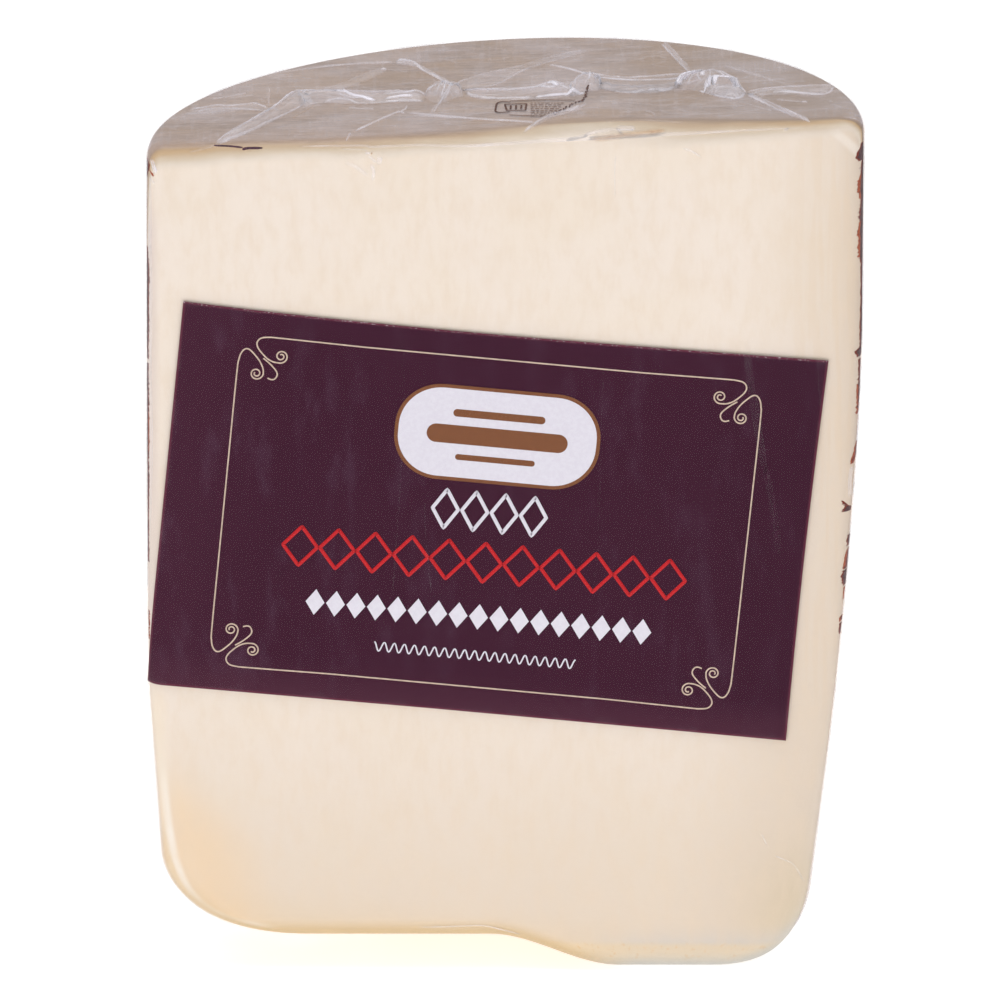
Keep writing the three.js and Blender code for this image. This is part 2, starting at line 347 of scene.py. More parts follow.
def new_node(tree, kind, settings, sockets):
    """A node of a kind in a tree, with its settings, then the values or the linked outputs of its sockets."""
    node = tree.nodes.new(kind)
    for key, value in (settings or {}).items():
        setattr(node, key, value)
    for key, value in sockets.items():
        socket = node.inputs[key]
        if isinstance(value, bpy.types.NodeSocket):
            tree.links.new(value, socket)
        else:
            socket.default_value = value
    return node


def new_mesh(name, points, faces, material, smooth_faces=True, fields=None):
    """A piece from points in millimetres on the cheese's axes, with named numbers kept at its points."""
    mesh = bpy.data.meshes.new(name)
    mesh.from_pydata(place(points).tolist(), [], faces)
    for field, values in (fields or {}).items():
        mesh.attributes.new(field, "FLOAT", "POINT").data.foreach_set("value", np.asarray(values, np.float32))
    mesh.polygons.foreach_set("use_smooth", [smooth_faces] * len(mesh.polygons))
    mesh.materials.append(material)
    mesh.update()
    return linked(name, mesh)


def ring_faces(rings, count, start=0):
    """Faces of a closed body of stacked rings, whose points follow a first end point and precede a last."""
    faces = []
    last = start + 1 + rings * count
    for i in range(count):
        j = (i + 1) % count
        faces.append((start, start + 1 + i, start + 1 + j))
        base = start + 1 + (rings - 1) * count
        faces.append((last, base + j, base + i))
    for r in range(rings - 1):
        a, b = start + 1 + r * count, start + 1 + (r + 1) * count
        for i in range(count):
            j = (i + 1) % count
            faces.append((a + i, b + i, b + j, a + j))
    return faces


def ring_points(rings):
    """The points of a closed body of stacked rings, with the middle of each end ring as an end point."""
    return np.vstack([rings[0].mean(0), rings.reshape(-1, rings.shape[-1]), rings[-1].mean(0)])


def at_points(grid):
    """A number for each point of the rings, with the end points taking their ring's."""
    return np.concatenate([[grid[0].mean()], grid.ravel(), [grid[-1].mean()]])


def through(points, count):
    """A smooth line through rows of numbers, at count even shares of the way."""
    points = np.asarray(points, float)
    padded = np.vstack([2 * points[0] - points[1], points, 2 * points[-1] - points[-2]])
    share = np.linspace(0, len(points) - 1, count)
    k = np.minimum(share.astype(int), len(points) - 2)
    t = (share - k)[:, None]
    a, b, c, d = (padded[k + n] for n in range(4))
    return 0.5 * (2 * b + (c - a) * t + (2 * a - 5 * b + 4 * c - d) * t**2 + (3 * b - a - 3 * c + d) * t**3)


STREAK_SHIFT = 17.3  # moves the streaks of each ribbon on, so that no two are alike


def ribbon(surface, edges, height, haze, seed=0, step=0.8, column=0.5, sunk=0.12, ragged=0.0, swell=1.0):
    """A thin closed body between two edge paths on a surface, with the fields that its finish reads."""
    first, second = (np.asarray(edge, float) for edge in edges)
    length = np.linalg.norm(np.diff((first if len(first) > len(second) else second), axis=0), axis=1).sum()
    rows = max(5, int(length / step))
    first, second = through(first, rows), through(second, rows)
    if ragged:
        way = (second - first) / np.maximum(np.linalg.norm(second - first, axis=1, keepdims=True), 1e-6)
        first = first + ragged * np.random.default_rng(seed).normal(size=(rows, 1)) * way
    width = np.linalg.norm(second - first, axis=1, keepdims=True)
    columns = int(np.clip(width.max() / column, 2, 30)) + 1
    t = np.linspace(0, 1, columns)[None, :, None]
    grid = first[:, None] * (1 - t) + second[:, None] * t
    a, b, t = grid[..., 0], grid[..., 1], t[..., 0]
    run = np.linspace(0, 1, rows)[:, None]
    ends = smooth(run, 0, 0.07) * smooth(run, 1, 0.93)
    tall = np.maximum(height * np.sqrt(ends) * (4 * t * (1 - t)) ** swell, 0.02)
    over = surface(a, b, tall)
    under = [0, -1] if columns < 6 else [0, columns // 2, -1]
    beneath = surface(a[:, under], b[:, under], np.full((rows, len(under)), -sunk))
    wide = np.broadcast_to(t, a.shape) * width
    fields = {
        "haze": haze * ends * np.ones(columns),
        "rim": np.minimum(wide, width - wide),
        "along": run * length * np.ones(columns),
        "across": wide + STREAK_SHIFT * seed,
    }
    m = rows // 2
    onward, sideways = over[m + 1, 0] - over[m, 0], over[m, -1] - over[m, 0]
    turned = -1 if np.cross(onward, sideways) @ (over[m, 0] - beneath[m, 0]) > 0 else 1
    rings = np.concatenate([over[:, ::-1], beneath], 1)[:, ::turned]
    kept = {
        name: at_points(np.concatenate([grid[:, ::-1], grid[:, under]], 1)[:, ::turned])
        for name, grid in fields.items()
    }
    return rings, kept


def stroke(surface, path, width, haze, height=0.3, **options):
    """A ribbon of one width along a path."""
    line = through(path, 4 * len(path))
    way = np.gradient(line, axis=0)
    side = np.stack([-way[:, 1], way[:, 0]], 1) / np.maximum(np.linalg.norm(way, axis=1), 1e-6)[:, None]
    run = np.linspace(0, 1, len(line))[:, None]
    slim = smooth(run, 0, 0.12) * smooth(run, 1, 0.88)
    half = side * width * (0.25 + 0.25 * slim)
    return ribbon(surface, (line - half, line + half), height, haze, column=width / 2, **options)


def joined(name, bodies, material, smooth_faces=True):
    """One piece of several closed bodies of rings, each with the fields at its points."""
    points, faces, fields = [], [], {}
    for rings, kept in bodies:
        start = sum(len(p) for p in points)
        points.append(ring_points(rings))
        faces += ring_faces(len(rings), rings.shape[1], start)
        for field, values in kept.items():
            fields.setdefault(field, []).append(values)
    fields = {field: np.concatenate(values) for field, values in fields.items()}
    return new_mesh(name, np.vstack(points), faces, material, smooth_faces, fields)


# ---------------------------------------------------------------- where the film is pleated

# Bands of doubled film on the top: how far they show, how high they stand, and their two edges in x and y.
TOP_BANDS = [
    (0.13, 0.5, [(-103, 36.5), (-96, 38.5), (-88, 38.5), (-81, 39.5), (-77, 34.5)], [(-104.5, 31),
        (-89.5, 33.5), (-76.5, 33)]),
    (0.26, 1.6, [(-94, -0.5), (-88.5, 13.5), (-76, 34.5), (-71.5, 46), (-68.5, 50.5), (-66.5, 51)],
        [(-94, -1.5), (-80.5, 14), (-69, 31.5), (-65, 38), (-62, 40)]),
    (0.3, 2.2, [(-68, 51), (-63.5, 50), (-56.5, 50), (-41.5, 46.5), (-34.5, 46), (-26, 43)],
        [(-66.5, 32.5), (-62.5, 37.5), (-57, 38), (-49.5, 36.5), (-33.5, 36.5), (-26, 36)]),
    (0.26, 3.2, [(-26, 38.5), (-25.5, 46.5), (-22.5, 52), (-19, 52.5), (-15.5, 49), (-14, 44)],
        [(-25.5, 37), (-22, 34), (-19.5, 35), (-16.5, 38.5), (-13.5, 40)]),
    (0.34, 0.9, [(-36, 77), (-32.5, 76.5), (-29, 73.5), (-24.5, 65.5), (-17, 52.5)], [(-36, 75),
        (-31.5, 73), (-27.5, 68.5), (-17.5, 50.5)]),
    (0.16, 0.5, [(-60, 51.5), (-54, 55.5), (-44.5, 66.5), (-39, 70)], [(-55, 49.5), (-46, 58.5),
        (-39, 68)]),
    (0.15, 0.7, [(-16.5, 52.5), (-12.5, 57), (-6.5, 61.5), (6.5, 69), (14.5, 76), (28.5, 82)],
        [(-14, 44.5), (-2.5, 51), (7.5, 66), (28.5, 81.5)]),
    (0.24, 1.8, [(-14, 45.5), (-8.5, 45.5), (4, 43.5), (9.5, 46), (15.5, 51), (20, 46.5)], [(-13, 41),
        (-8.5, 37), (-2, 36), (4.5, 34), (17.5, 35), (25, 38)]),
    (0.28, 3.4, [(20.5, 38.5), (21.5, 48), (23.5, 52.5), (26.5, 55.5), (29.5, 51.5), (31.5, 46)],
        [(21.5, 35.5), (25, 38), (27, 41.5), (29.5, 41), (31.5, 43)]),
    (0.1, 1.4, [(28.5, 57), (40.5, 52.5), (61, 55)], [(30, 43), (40.5, 37.5), (52, 38), (56.5, 42)]),
    (0.26, 1.6, [(30.5, 48), (35, 44), (40.5, 42), (52, 42.5), (57, 45)], [(30.5, 43), (35.5, 39.5),
        (46, 36.5), (52, 38), (56.5, 41.5)]),
    (0.24, 3.6, [(54.5, 42.5), (58.5, 49.5), (62.5, 55), (64.5, 56.5), (68.5, 54), (76, 39)], [(57, 38.5),
        (60.5, 38), (71, 29.5), (75, 27.5), (78, 32.5)]),
    (0.34, 2.4, [(64.5, 35.5), (65.5, 39.5), (67.5, 41), (74, 39), (76.5, 36.5)], [(64.5, 34.5), (70, 30),
        (75.5, 28), (78, 32.5)]),
    (0.2, 0.9, [(78, 33.5), (82.5, 36), (88.5, 37.5), (101, 38), (106.5, 37.5)], [(79.5, 30.5),
        (90.5, 30.5), (96.5, 29), (103, 29), (107.5, 34.5)]),
    (0.34, 0.8, [(78, 33.5), (98.5, 2)], [(78, 30.5), (92, 10), (98.5, 1.5)]),
    (0.34, 0.9, [(52, 86.5), (54, 82), (60.5, 57)], [(51, 85.5), (59.5, 56)]),
    (0.26, 0.7, [(5.5, 1.5), (9.5, 10.5), (13.5, 16.5), (18.5, 20), (24, 25.5)], [(5.5, 0.5), (14.5, 15),
        (19, 18.5), (25.5, 24)]),
]
# Thin folds and creases on the top, and painted highlights where they would catch the light: how far they
# show, width, and a path of x and y.
TOP_LINES = [
    (0.5, 0.6, [(-103, 36), (-99.5, 36), (-96, 38.5), (-93, 39.5), (-89.5, 38), (-84, 39), (-82.5, 40),
        (-80.5, 39), (-79, 36), (-77, 34.5)]),
    (0.28, 0.5, [(-100.5, 32.5), (-94.5, 35), (-80, 33), (-73, 27.5)]),
    (0.16, 0.5, [(-104.5, 31.5), (-88, 32)]),
    (0.6, 0.6, [(-94, -0.5), (-87.5, 14), (-79.5, 29), (-76, 34.5), (-70.5, 47), (-68.5, 50.5)]),
    (0.26, 0.5, [(-92, 3), (-86.5, 11.5), (-77.5, 30), (-72.5, 38), (-69, 46)]),
    (0.34, 0.5, [(-93, 0), (-82, 13), (-64.5, 38)]),
    (0.5, 0.6, [(-73, 42.5), (-68.5, 50.5), (-67, 51), (-65, 49), (-61.5, 49)]),
    (0.3, 0.5, [(-68.5, 50.5), (-66, 40.5), (-65, 38)]),
    (0.55, 0.6, [(-68, 51), (-65.5, 49), (-57, 49.5), (-39, 45.5), (-33.5, 45.5), (-29.5, 47),
        (-27.5, 45.5), (-26, 42)]),
    (0.42, 0.6, [(-54.5, 41.5), (-50.5, 39), (-43, 38)]),
    (0.3, 0.5, [(-40, 39.5), (-29.5, 40.5)]),
    (0.3, 0.5, [(-65.5, 43), (-56, 43.5), (-53, 42)]),
    (0.34, 0.6, [(-59, 38.5), (-54, 39), (-45.5, 36), (-34.5, 37), (-26, 36)]),
    (0.2, 0.6, [(-51.5, 32.5), (-47.5, 31), (-42, 30.5)]),
    (0.55, 0.6, [(-26, 38.5), (-25.5, 45.5), (-24, 50.5), (-21, 52.5), (-18, 51.5), (-14, 44.5)]),
    (0.35, 0.5, [(-24.5, 38.5), (-24, 44.5), (-22, 48), (-20.5, 47.5), (-19.5, 38)]),
    (0.45, 0.5, [(-22.5, 37.5), (-20.5, 48.5), (-21, 51)]),
    (0.5, 0.6, [(-21, 35.5), (-19.5, 45), (-20.5, 50)]),
    (0.3, 0.5, [(-16.5, 48), (-19, 38), (-20.5, 35)]),
    (0.4, 0.5, [(-17.5, 46), (-18.5, 41.5), (-22, 31.5), (-23.5, 23.5)]),
    (0.26, 0.5, [(-19.5, 37.5), (-23, 30.5), (-24, 24)]),
    (0.26, 0.8, [(-78, 69), (-54, 75.5), (-36, 76.5)]),
    (0.5, 0.6, [(-36, 76), (-32.5, 75.5), (-29.5, 72.5), (-25.5, 64.5), (-15, 47)]),
    (0.5, 1.2, [(-36, 76), (-33.5, 76), (-31.5, 75)]),
    (0.22, 0.5, [(-60, 51.5), (-54, 55.5), (-48.5, 62.5), (-41, 70), (-39, 70)]),
    (0.5, 0.8, [(-41, 69.5), (-40, 69), (-38.5, 69.5)]),
    (0.16, 0.5, [(-39, 69.5), (-31.5, 66)]),
    (0.26, 0.6, [(-16.5, 52), (-12.5, 56.5), (-6.5, 61.5), (6.5, 69), (14.5, 75.5), (28.5, 82)]),
    (0.2, 0.5, [(-13.5, 45), (-2.5, 51), (7.5, 65.5), (22.5, 77)]),
    (0.5, 0.6, [(-14, 45), (-10, 45.5), (2, 43), (7, 44), (15, 51), (20, 46.5)]),
    (0.38, 0.6, [(-6.5, 38.5), (-4.5, 41), (-1, 41), (2.5, 40.5), (10, 41.5), (13.5, 42.5)]),
    (0.36, 0.6, [(-13, 41.5), (-10, 38.5), (-6.5, 37), (4, 35), (9.5, 35)]),
    (0.65, 0.8, [(9.5, 35), (14.5, 36), (23.5, 37.5), (25.5, 38.5)]),
    (0.45, 0.6, [(14.5, 50.5), (17.5, 43.5), (20.5, 39.5)]),
    (0.5, 0.6, [(21.5, 36.5), (21, 43), (22, 49.5), (26.5, 53), (28.5, 50.5)]),
    (0.32, 0.5, [(22.5, 38), (23, 45), (24.5, 49), (26.5, 49.5)]),
    (0.6, 0.6, [(27, 51.5), (27.5, 48.5), (27, 45)]),
    (0.45, 0.6, [(28, 50.5), (30, 47.5), (31, 43.5)]),
    (0.5, 0.7, [(13.5, 68.5), (18, 66), (26, 58.5), (30, 57), (35, 53.5), (39, 52.5), (44.5, 53),
        (50.5, 53), (61, 55)]),
    (0.4, 0.6, [(16, 66.5), (21, 63.5), (28.5, 55), (31, 51)]),
    (0.46, 0.6, [(30, 51.5), (32.5, 49), (41.5, 46), (52.5, 45.5), (57, 47), (60.5, 50.5)]),
    (0.3, 0.5, [(30.5, 47.5), (38, 41.5), (43.5, 40.5), (49.5, 41)]),
    (0.42, 0.6, [(35, 39.5), (40.5, 37.5), (51, 38), (55, 40.5)]),
    (0.6, 0.7, [(55, 42), (59.5, 47), (63.5, 54.5)]),
    (0.4, 0.5, [(57.5, 40.5), (61, 46), (64.5, 54)]),
    (0.35, 0.5, [(59, 39.5), (62.5, 47), (64.5, 54)]),
    (0.5, 0.6, [(59.5, 54), (62.5, 55), (64.5, 56.5), (66, 54), (68.5, 53.5)]),
    (0.42, 0.5, [(68.5, 54), (75.5, 40)]),
    (0.38, 0.5, [(68, 53), (72, 42), (75.5, 37)]),
    (0.32, 0.5, [(66.5, 52), (71.5, 40.5)]),
    (0.4, 0.5, [(65.5, 52.5), (66.5, 48), (66.5, 43), (66, 40)]),
    (0.4, 0.5, [(64, 53.5), (62.5, 43.5), (63.5, 39.5)]),
    (0.85, 0.7, [(64.5, 35.5), (65.5, 39.5), (67.5, 41), (74, 39), (76.5, 36.5)]),
    (0.5, 0.6, [(67, 32), (73.5, 28), (76, 28.5), (78, 32.5)]),
    (0.75, 0.6, [(63, 36.5), (64.5, 35), (65.5, 38)]),
    (0.6, 0.7, [(75.5, 38.5), (77, 37.5), (78, 32.5)]),
    (0.5, 0.6, [(78.5, 33.5), (82.5, 36), (88.5, 37.5), (101, 38), (106.5, 37.5)]),
    (0.42, 0.6, [(86.5, 31.5), (90.5, 31.5), (103, 29), (107, 35.5)]),
    (0.3, 0.5, [(79.5, 31), (87.5, 33), (95.5, 30.5)]),
    (0.3, 0.5, [(87.5, 25.5), (96, 22.5)]),
    (0.7, 0.5, [(95.5, 22.5), (98, 22)]),
    (0.45, 0.6, [(78.5, 32.5), (98.5, 1.5)]),
    (0.3, 0.5, [(78.5, 30.5), (91, 10.5)]),
    (0.16, 0.5, [(79.5, 26.5), (85, 18), (90.5, 12), (93, 7)]),
    (0.13, 0.5, [(76, 25), (86.5, 14)]),
    (0.34, 0.5, [(52, 86.5), (54, 82), (60.5, 57)]),
    (0.3, 0.5, [(51, 85.5), (59.5, 56)]),
    (0.52, 0.8, [(-33, 25.5), (-8.5, 16.5), (4, 13), (9.5, 11)]),
    (0.26, 0.5, [(-30, 22.5), (-12.5, 17.5)]),
    (0.55, 0.6, [(-32, 33), (-32.5, 29), (-34, 26.5), (-32.5, 24.5)]),
    (0.5, 0.7, [(-34, 27), (-37.5, 23.5), (-49, 8.5)]),
    (0.4, 0.6, [(-50, 8), (-51.5, -0.5)]),
    (0.5, 0.7, [(5.5, 1), (13.5, 15.5), (21.5, 21.5), (26.5, 28.5)]),
    (0.26, 0.5, [(-96, 45.5), (-90.5, 47.5), (-84, 50.5)]),
    (0.2, 0.5, [(-90.5, 45.5), (-81.5, 48.5)]),
    (0.26, 0.4, [(-77, 55), (-77, 38)]),
    (0.2, 0.6, [(70, 62), (81.5, 51.5), (87, 44.5), (91.5, 41)]),
    (0.14, 0.6, [(73, 59.5), (83.5, 48)]),
    (0.14, 0.6, [(45, 18.5), (47.5, 17), (48.5, 13)]),
    (0.14, 0.6, [(55, 20), (60.5, 15.5), (64.5, 16.5)]),
    # Painted highlights: short bright strokes on the folds.
    (0.95, 1, [(-53, 46), (-52, 42.5), (-49, 39.5), (-42, 37)]),
    (0.8, 0.8, [(-55.5, 44), (-51, 41.5)]),
    (0.9, 0.8, [(-39.5, 37.5), (-33.5, 38.5), (-30, 38)]),
    (0.85, 0.7, [(-31.5, 46), (-29.5, 47)]),
    (0.9, 1.6, [(13.5, 46), (15, 46.5), (17, 42)]),
    (0.6, 0.9, [(11, 42), (14, 41), (16.5, 41.5)]),
    (0.95, 1.6, [(55, 42), (60, 48.5), (62.5, 53.5)]),
    (0.95, 3, [(63, 44), (65, 44)]),
    (0.7, 0.6, [(-21, 44.5), (-20.5, 42)]),
    (0.7, 0.7, [(73, 45), (74.5, 41.5)]),
]
# Golden oil under the film on the top, in the same way.
TOP_STAINS = [
    (0.5, 1, [(-69.5, 23), (-62, 36)]),
    (0.4, 0.4, [(-81, 41), (-74.5, 48), (-70.5, 51)]),
    (0.35, 0.9, [(78, 37.5), (79.5, 38.5)]),
]
# The same over the front top edge: paths of x and millimetres up over the edge.
EDGE_LINES = [
    (0.5, 0.7, [(-68.5, 2.4), (-46.5, 1.9), (-43, 1.4), (-28.5, 1.6), (-12.5, 1.2), (25, 2.4),
        (103, 2.7)]),
    (0.3, 0.5, [(-53.5, 1), (-46.5, 0.7), (-44.5, 0.1)]),
    (0.55, 0.7, [(-45.5, -0.4), (-43.5, -0.6)]),
    (0.42, 0.7, [(25, 2.7), (28, 3.4), (35.5, 3.9), (38, 2.7)]),
    (0.65, 1, [(35.5, 4.2), (42, 4)]),
    (0.3, 0.6, [(19.5, 2.1), (26.5, 3)]),
    (0.2, 0.6, [(32, 5.6), (40, 6.5), (58, 5.1)]),
    (0.55, 0.8, [(89.5, 2.3), (91.5, 2.6)]),
    (0.3, 0.6, [(-94, 3.9), (-96, 2.9), (-102.5, 1.6)]),
    (0.7, 1.6, [(-40.5, -1.6), (-41, -4.7)]),
    (0.5, 0.9, [(-44.5, -1.2), (-41.5, -4)]),
]
EDGE_STAINS = [
    (0.45, 1.7, [(27, 2.2), (52.5, 3.4)]),
    (0.7, 1.8, [(-43.5, -0.6), (-43, -0.8)]),
]



# ---------------------------------------------------------------- materials


class Link:
    """An output of a node in a material. Arithmetic with other links and numbers adds the Math nodes."""

    def __init__(self, finish, socket):
        self.finish, self.socket = finish, socket

    def math(self, operation, *others):
        return self.finish.add("ShaderNodeMath", {"operation": operation}, dict(enumerate((self, *others))))

    def __add__(self, other):
        return self.math("ADD", other)

    def __sub__(self, other):
        return self.math("SUBTRACT", other)

    def __mul__(self, other):
        return self.math("MULTIPLY", other)

    def __truediv__(self, other):
        return self.math("DIVIDE", other)

    def __rsub__(self, other):
        return self.finish.add("ShaderNodeMath", {"operation": "SUBTRACT"}, {0: other, 1: self})

    __radd__ = __add__
    __rmul__ = __mul__

    def larger(self, other):
        return self.math("MAXIMUM", other)

    def smaller(self, other):
        return self.math("MINIMUM", other)

    def size(self):
        return self.math("ABSOLUTE")


class Finish:
    """A material and the nodes that make it."""

    def __init__(self, name):
        self.material = bpy.data.materials.new(name)
        self.material.use_nodes = True
        self.tree = self.material.node_tree
        self.tree.nodes.clear()

    def add(self, kind, settings=None, sockets=None, out=0):
        """A node of a kind, with its settings, then the values or links of its sockets."""
        given = {k: v.socket if isinstance(v, Link) else v for k, v in (sockets or {}).items()}
        node = new_node(self.tree, kind, settings, given)
        return Link(self, node.outputs[out] if node.outputs else None)

    def field(self, name):
        return self.add("ShaderNodeAttribute", {"attribute_name": name}, out="Fac")

    def millimetres(self, stretch=(1.0, 1.0, 1.0)):
        """Object coordinates in millimetres, stretched along each axis."""
        return self.add(
            "ShaderNodeVectorMath",
            {"operation": "MULTIPLY"},
            {0: self.add("ShaderNodeTexCoord", out="Object"), 1: [1000.0 * s for s in stretch]},
        )

    def axes(self):
        """x, y and z in millimetres on the cheese's own axes."""
        split = self.add("ShaderNodeSeparateXYZ", sockets={0: self.millimetres()})
        ends = [Link(self, split.socket.node.outputs[i]) for i in range(3)]
        return [end - float(shift) for end, shift in zip(ends, SHIFT)]

    def vector(self, x, y, z=0.0):
        return self.add("ShaderNodeCombineXYZ", sockets={0: x, 1: y, 2: z})

    def step(self, x, low, high):
        """A smooth rise from 0 at low to 1 at high; a fall where low is the larger."""
        return self.add(
            "ShaderNodeMapRange",
            {"interpolation_type": "SMOOTHSTEP"},
            {"Value": x, "From Min": low, "From Max": high},
        )

    def noise(self, coordinates, size, detail=2.0, roughness=0.55, distortion=0.0):
        """Noise about 0.5, with features about size millimetres wide."""
        return self.add(
            "ShaderNodeTexNoise",
            sockets={
                "Vector": coordinates,
                "Scale": 1.0 / size,
                "Detail": detail,
                "Roughness": roughness,
                "Distortion": distortion,
            },
        )

    def blend(self, share, first, second):
        """The first colour going over to the second as share goes from 0 to 1."""
        return self.add("ShaderNodeMix", {"data_type": "RGBA"}, {0: share, 6: first, 7: second}, out=2)

    def over(self, under, *layers):
        """A colour with layers over it, each a share of 0 to 1 and its sRGB colour."""
        for share, shade in layers:
            under = self.blend(share, under, colour(*shade))
        return under

    def bump(self, height, depth):
        """A normal from a height of 0 to 1 that is depth millimetres high."""
        return self.add("ShaderNodeBump", sockets={"Height": height, "Distance": depth * MM})

    def surface(self, **sockets):
        """Ends the material in a Principled shader; names are its sockets with _ for spaces."""
        given = {key.replace("_", " "): value for key, value in sockets.items()}
        shader = self.add("ShaderNodeBsdfPrincipled", sockets=given)
        self.add("ShaderNodeOutputMaterial", sockets={"Surface": shader})
        return self.material


def colour(red, green, blue):
    """An sRGB colour of 0 to 255 as the linear colour that a shader takes."""
    shares = [c / 255 for c in (red, green, blue)]
    return tuple([c / 12.92 if c <= 0.04045 else ((c + 0.055) / 1.055) ** 2.4 for c in shares]) + (1.0,)


# The print round the rind, in rows: height, half height and half width of its lozenges, and their pitch.
DARK_LOZENGES = [(252, 34, 21, 46), (193, 19, 19, 46), (144, 12, 17, 46), (219, 3, 7, 23), (167, 3, 7, 23)]
RED_LOZENGES = [(252, 17, 10, 46), (193, 9, 8, 46)]
PRINT_START = 14.0  # from the start of the corner to the middle of the first lozenge
PRINT_BARE = 5.5  # next to a corner the print is worn away this far


def lozenge_row(finish, around, z, row_z, half_height, half_width, pitch):
    """A row of lozenges round the rind: 1 inside and 0 outside."""
    phase = finish.add("ShaderNodeMath", {"operation": "PINGPONG"}, {0: around - PRINT_START, 1: pitch / 2})
    return finish.step(phase / half_width + (z - row_z).size() / half_height, 1.03, 0.97)


def cheese_finish():
    """Pale cream paste on the cuts, painted darker as shade over the top, golden oiled rind behind them, and
    what is left of the rind's print.
    """
    f = Finish("provolone")
    x, y, z = f.axes()
    rind, past, around = f.field("rind"), f.field("past_edge"), f.field("around")
    corner, under, rim = f.field("corner"), f.field("under"), f.field("rim")
    cloud = f.noise(f.millimetres(), 55, 2)
    curd = f.noise(f.millimetres((1.0, 1.0, 0.4)), 5, 4, 0.65)
    # The paste: a little warmer to the right and towards the rounded end, and painted darker there as shade,
    # with a painted grey shade low in the middle of the cut face.
    paste = f.blend(f.step(cloud, 0.35, 0.68), colour(243, 229, 216), colour(242, 227, 211))
    from_edge = f.step((x + 108.0 + f.step(z, 75, 20) * -9.0).size() + f.step(z, 40, 90) * 26.0, 30, 3)
    streaks = f.step(f.noise(f.millimetres((1.0, 1.0, 0.06)), 2.4, 1), 0.46, 0.62) * f.step(x, 84, 106)
    paste = f.over(
        paste,
        (f.step(z, 130, 0) * 0.85, (226, 209, 190)),
        (f.step(x + (z - 292.0) * -0.115, 74, 140) * 0.85, (221, 203, 184)),
        (f.step(x, 105, 115) * f.step(z, 100, 150) * 0.45, (210, 190, 171)),
        (f.step(z, 62, 14) * f.step(x, 66, 106) * 0.6, (213, 193, 152)),
        (f.step(z + x * 0.1, 26, 6) * (0.2 + f.step(x, 60, 10) * 0.4), (226, 203, 170)),
        (f.step(z, 19, 6) * f.step(x, 20, 50) * 0.8, (208, 203, 199)),
        (from_edge * f.step(z, 100, 55) * 0.55, (242, 208, 164)),
        (streaks * f.step(z, 60, 130) * 0.16, (226, 196, 158)),
        (f.step(curd, 0.38, 0.72) * 0.35, (232, 211, 187)),
    )
    # A soft pale band along the film stretched round the low left is a painted highlight, with darker paste
    # outside it.
    right_of, above = x + 116.0, z - 10.0
    from_band = (right_of * above - 220.0) / (right_of * right_of + above * above).math("SQRT")
    at_front = f.step(y, 26, 14)
    band = f.step(from_band.size(), 2.3, 0.3) * f.step(z, 86, 60) * f.step(x, -72, -84) * at_front
    outside = f.step(from_band, 0.5, -2.0) * f.step(z, 70, 44) * at_front
    speckle = f.step(f.noise(f.millimetres(), 1.6, 2, 0.6), 0.56, 0.7)
    # A pale smear at the top right, and a whitish gather of the film over the step in the foot.
    from_smear = (x - 110.0 + (z - 290.0) * 1.1).size()
    smear = f.step(from_smear + f.step(z, 284, 280) * 9, 3.4, 0.8) * f.step(x, 99, 106)
    from_gather = (z - 13.0 + (x + 6.0) * 0.12).size()
    gather = f.step(from_gather, 2.6, 0.8) * f.step((x + 9.0).size(), 20, 10) * f.step(y, 14, 4)
    # Round the right upright corner it is painted darker as shade; to the left it is a little pink beside the
    # label.
    beside = f.step(x, -111.5, -114.5) * f.step(z, 272, 258) * f.step(z, 96, 112)
    paste = f.over(
        paste,
        (outside * 0.6, (232, 208, 170)),
        (outside * speckle * 0.5, (222, 182, 124)),
        (band * (0.25 + curd * 1.0), (252, 243, 233)),
        (smear * (0.25 + curd * 0.5), (246, 236, 226)),
        (gather * (0.2 + curd * 0.6), (232, 224, 218)),
        (f.step(x, 100, 116) * f.step(corner, 0.0, 0.85) * 0.85, (198, 177, 160)),
        (beside * 0.75, (227, 211, 201)),
        (f.step(x, -109, -115) * f.step(z, 108, 90) * 0.6, (246, 229, 204)),
    )
    # Across the top the paste is painted darker as shade, lighter near its front edge and darker to the
    # right, with the long fibres that the knife has pulled.
    pulled = f.noise(f.millimetres((0.14, 0.8, 0.14)), 1.5, 4, 0.62, 1.6)
    broad = f.noise(f.millimetres((0.35, 0.75, 0.3)), 13, 3, 0.6, 0.6)
    shade = f.over(
        f.blend(f.step(pulled, 0.34, 0.68), colour(155, 135, 121), colour(178, 157, 144)),
        (f.step(broad, 0.42, 0.68) * 0.7, (172, 144, 116)),
        (f.step(y, 22, 2) * 0.4, (188, 161, 142)),
        (f.step(x, 28, 84) * 0.62, (150, 128, 108)),
    )
    # Over some millimetres towards the edge of the top the paste is painted darker, as the shade where the
    # rounded edge turns up from the light, and then takes the top's painted shade.
    ragged = past + (f.noise(f.millimetres((0.4, 1.0, 1.0)), 6, 3, 0.6) - 0.5) * 2.6
    paste = f.over(
        paste,
        (f.step(ragged, -6.6, -3.2) * (1 - rind), (230, 216, 201)),
        (f.step(ragged, -4.6, -1.7), (214, 195, 171)),
        (f.step(ragged, -2.4, -0.1), (196, 172, 148)),
    )
    paste = f.blend(f.step(ragged, -0.7, 1.1), paste, shade)
    glow = f.step(ragged.size(), 2.4, 0.2) * f.step(y, 20, 8) * (0.12 + f.step(x.size(), 60, 110) * 0.3)
    paste = f.over(paste, (glow, (216, 180, 128)))
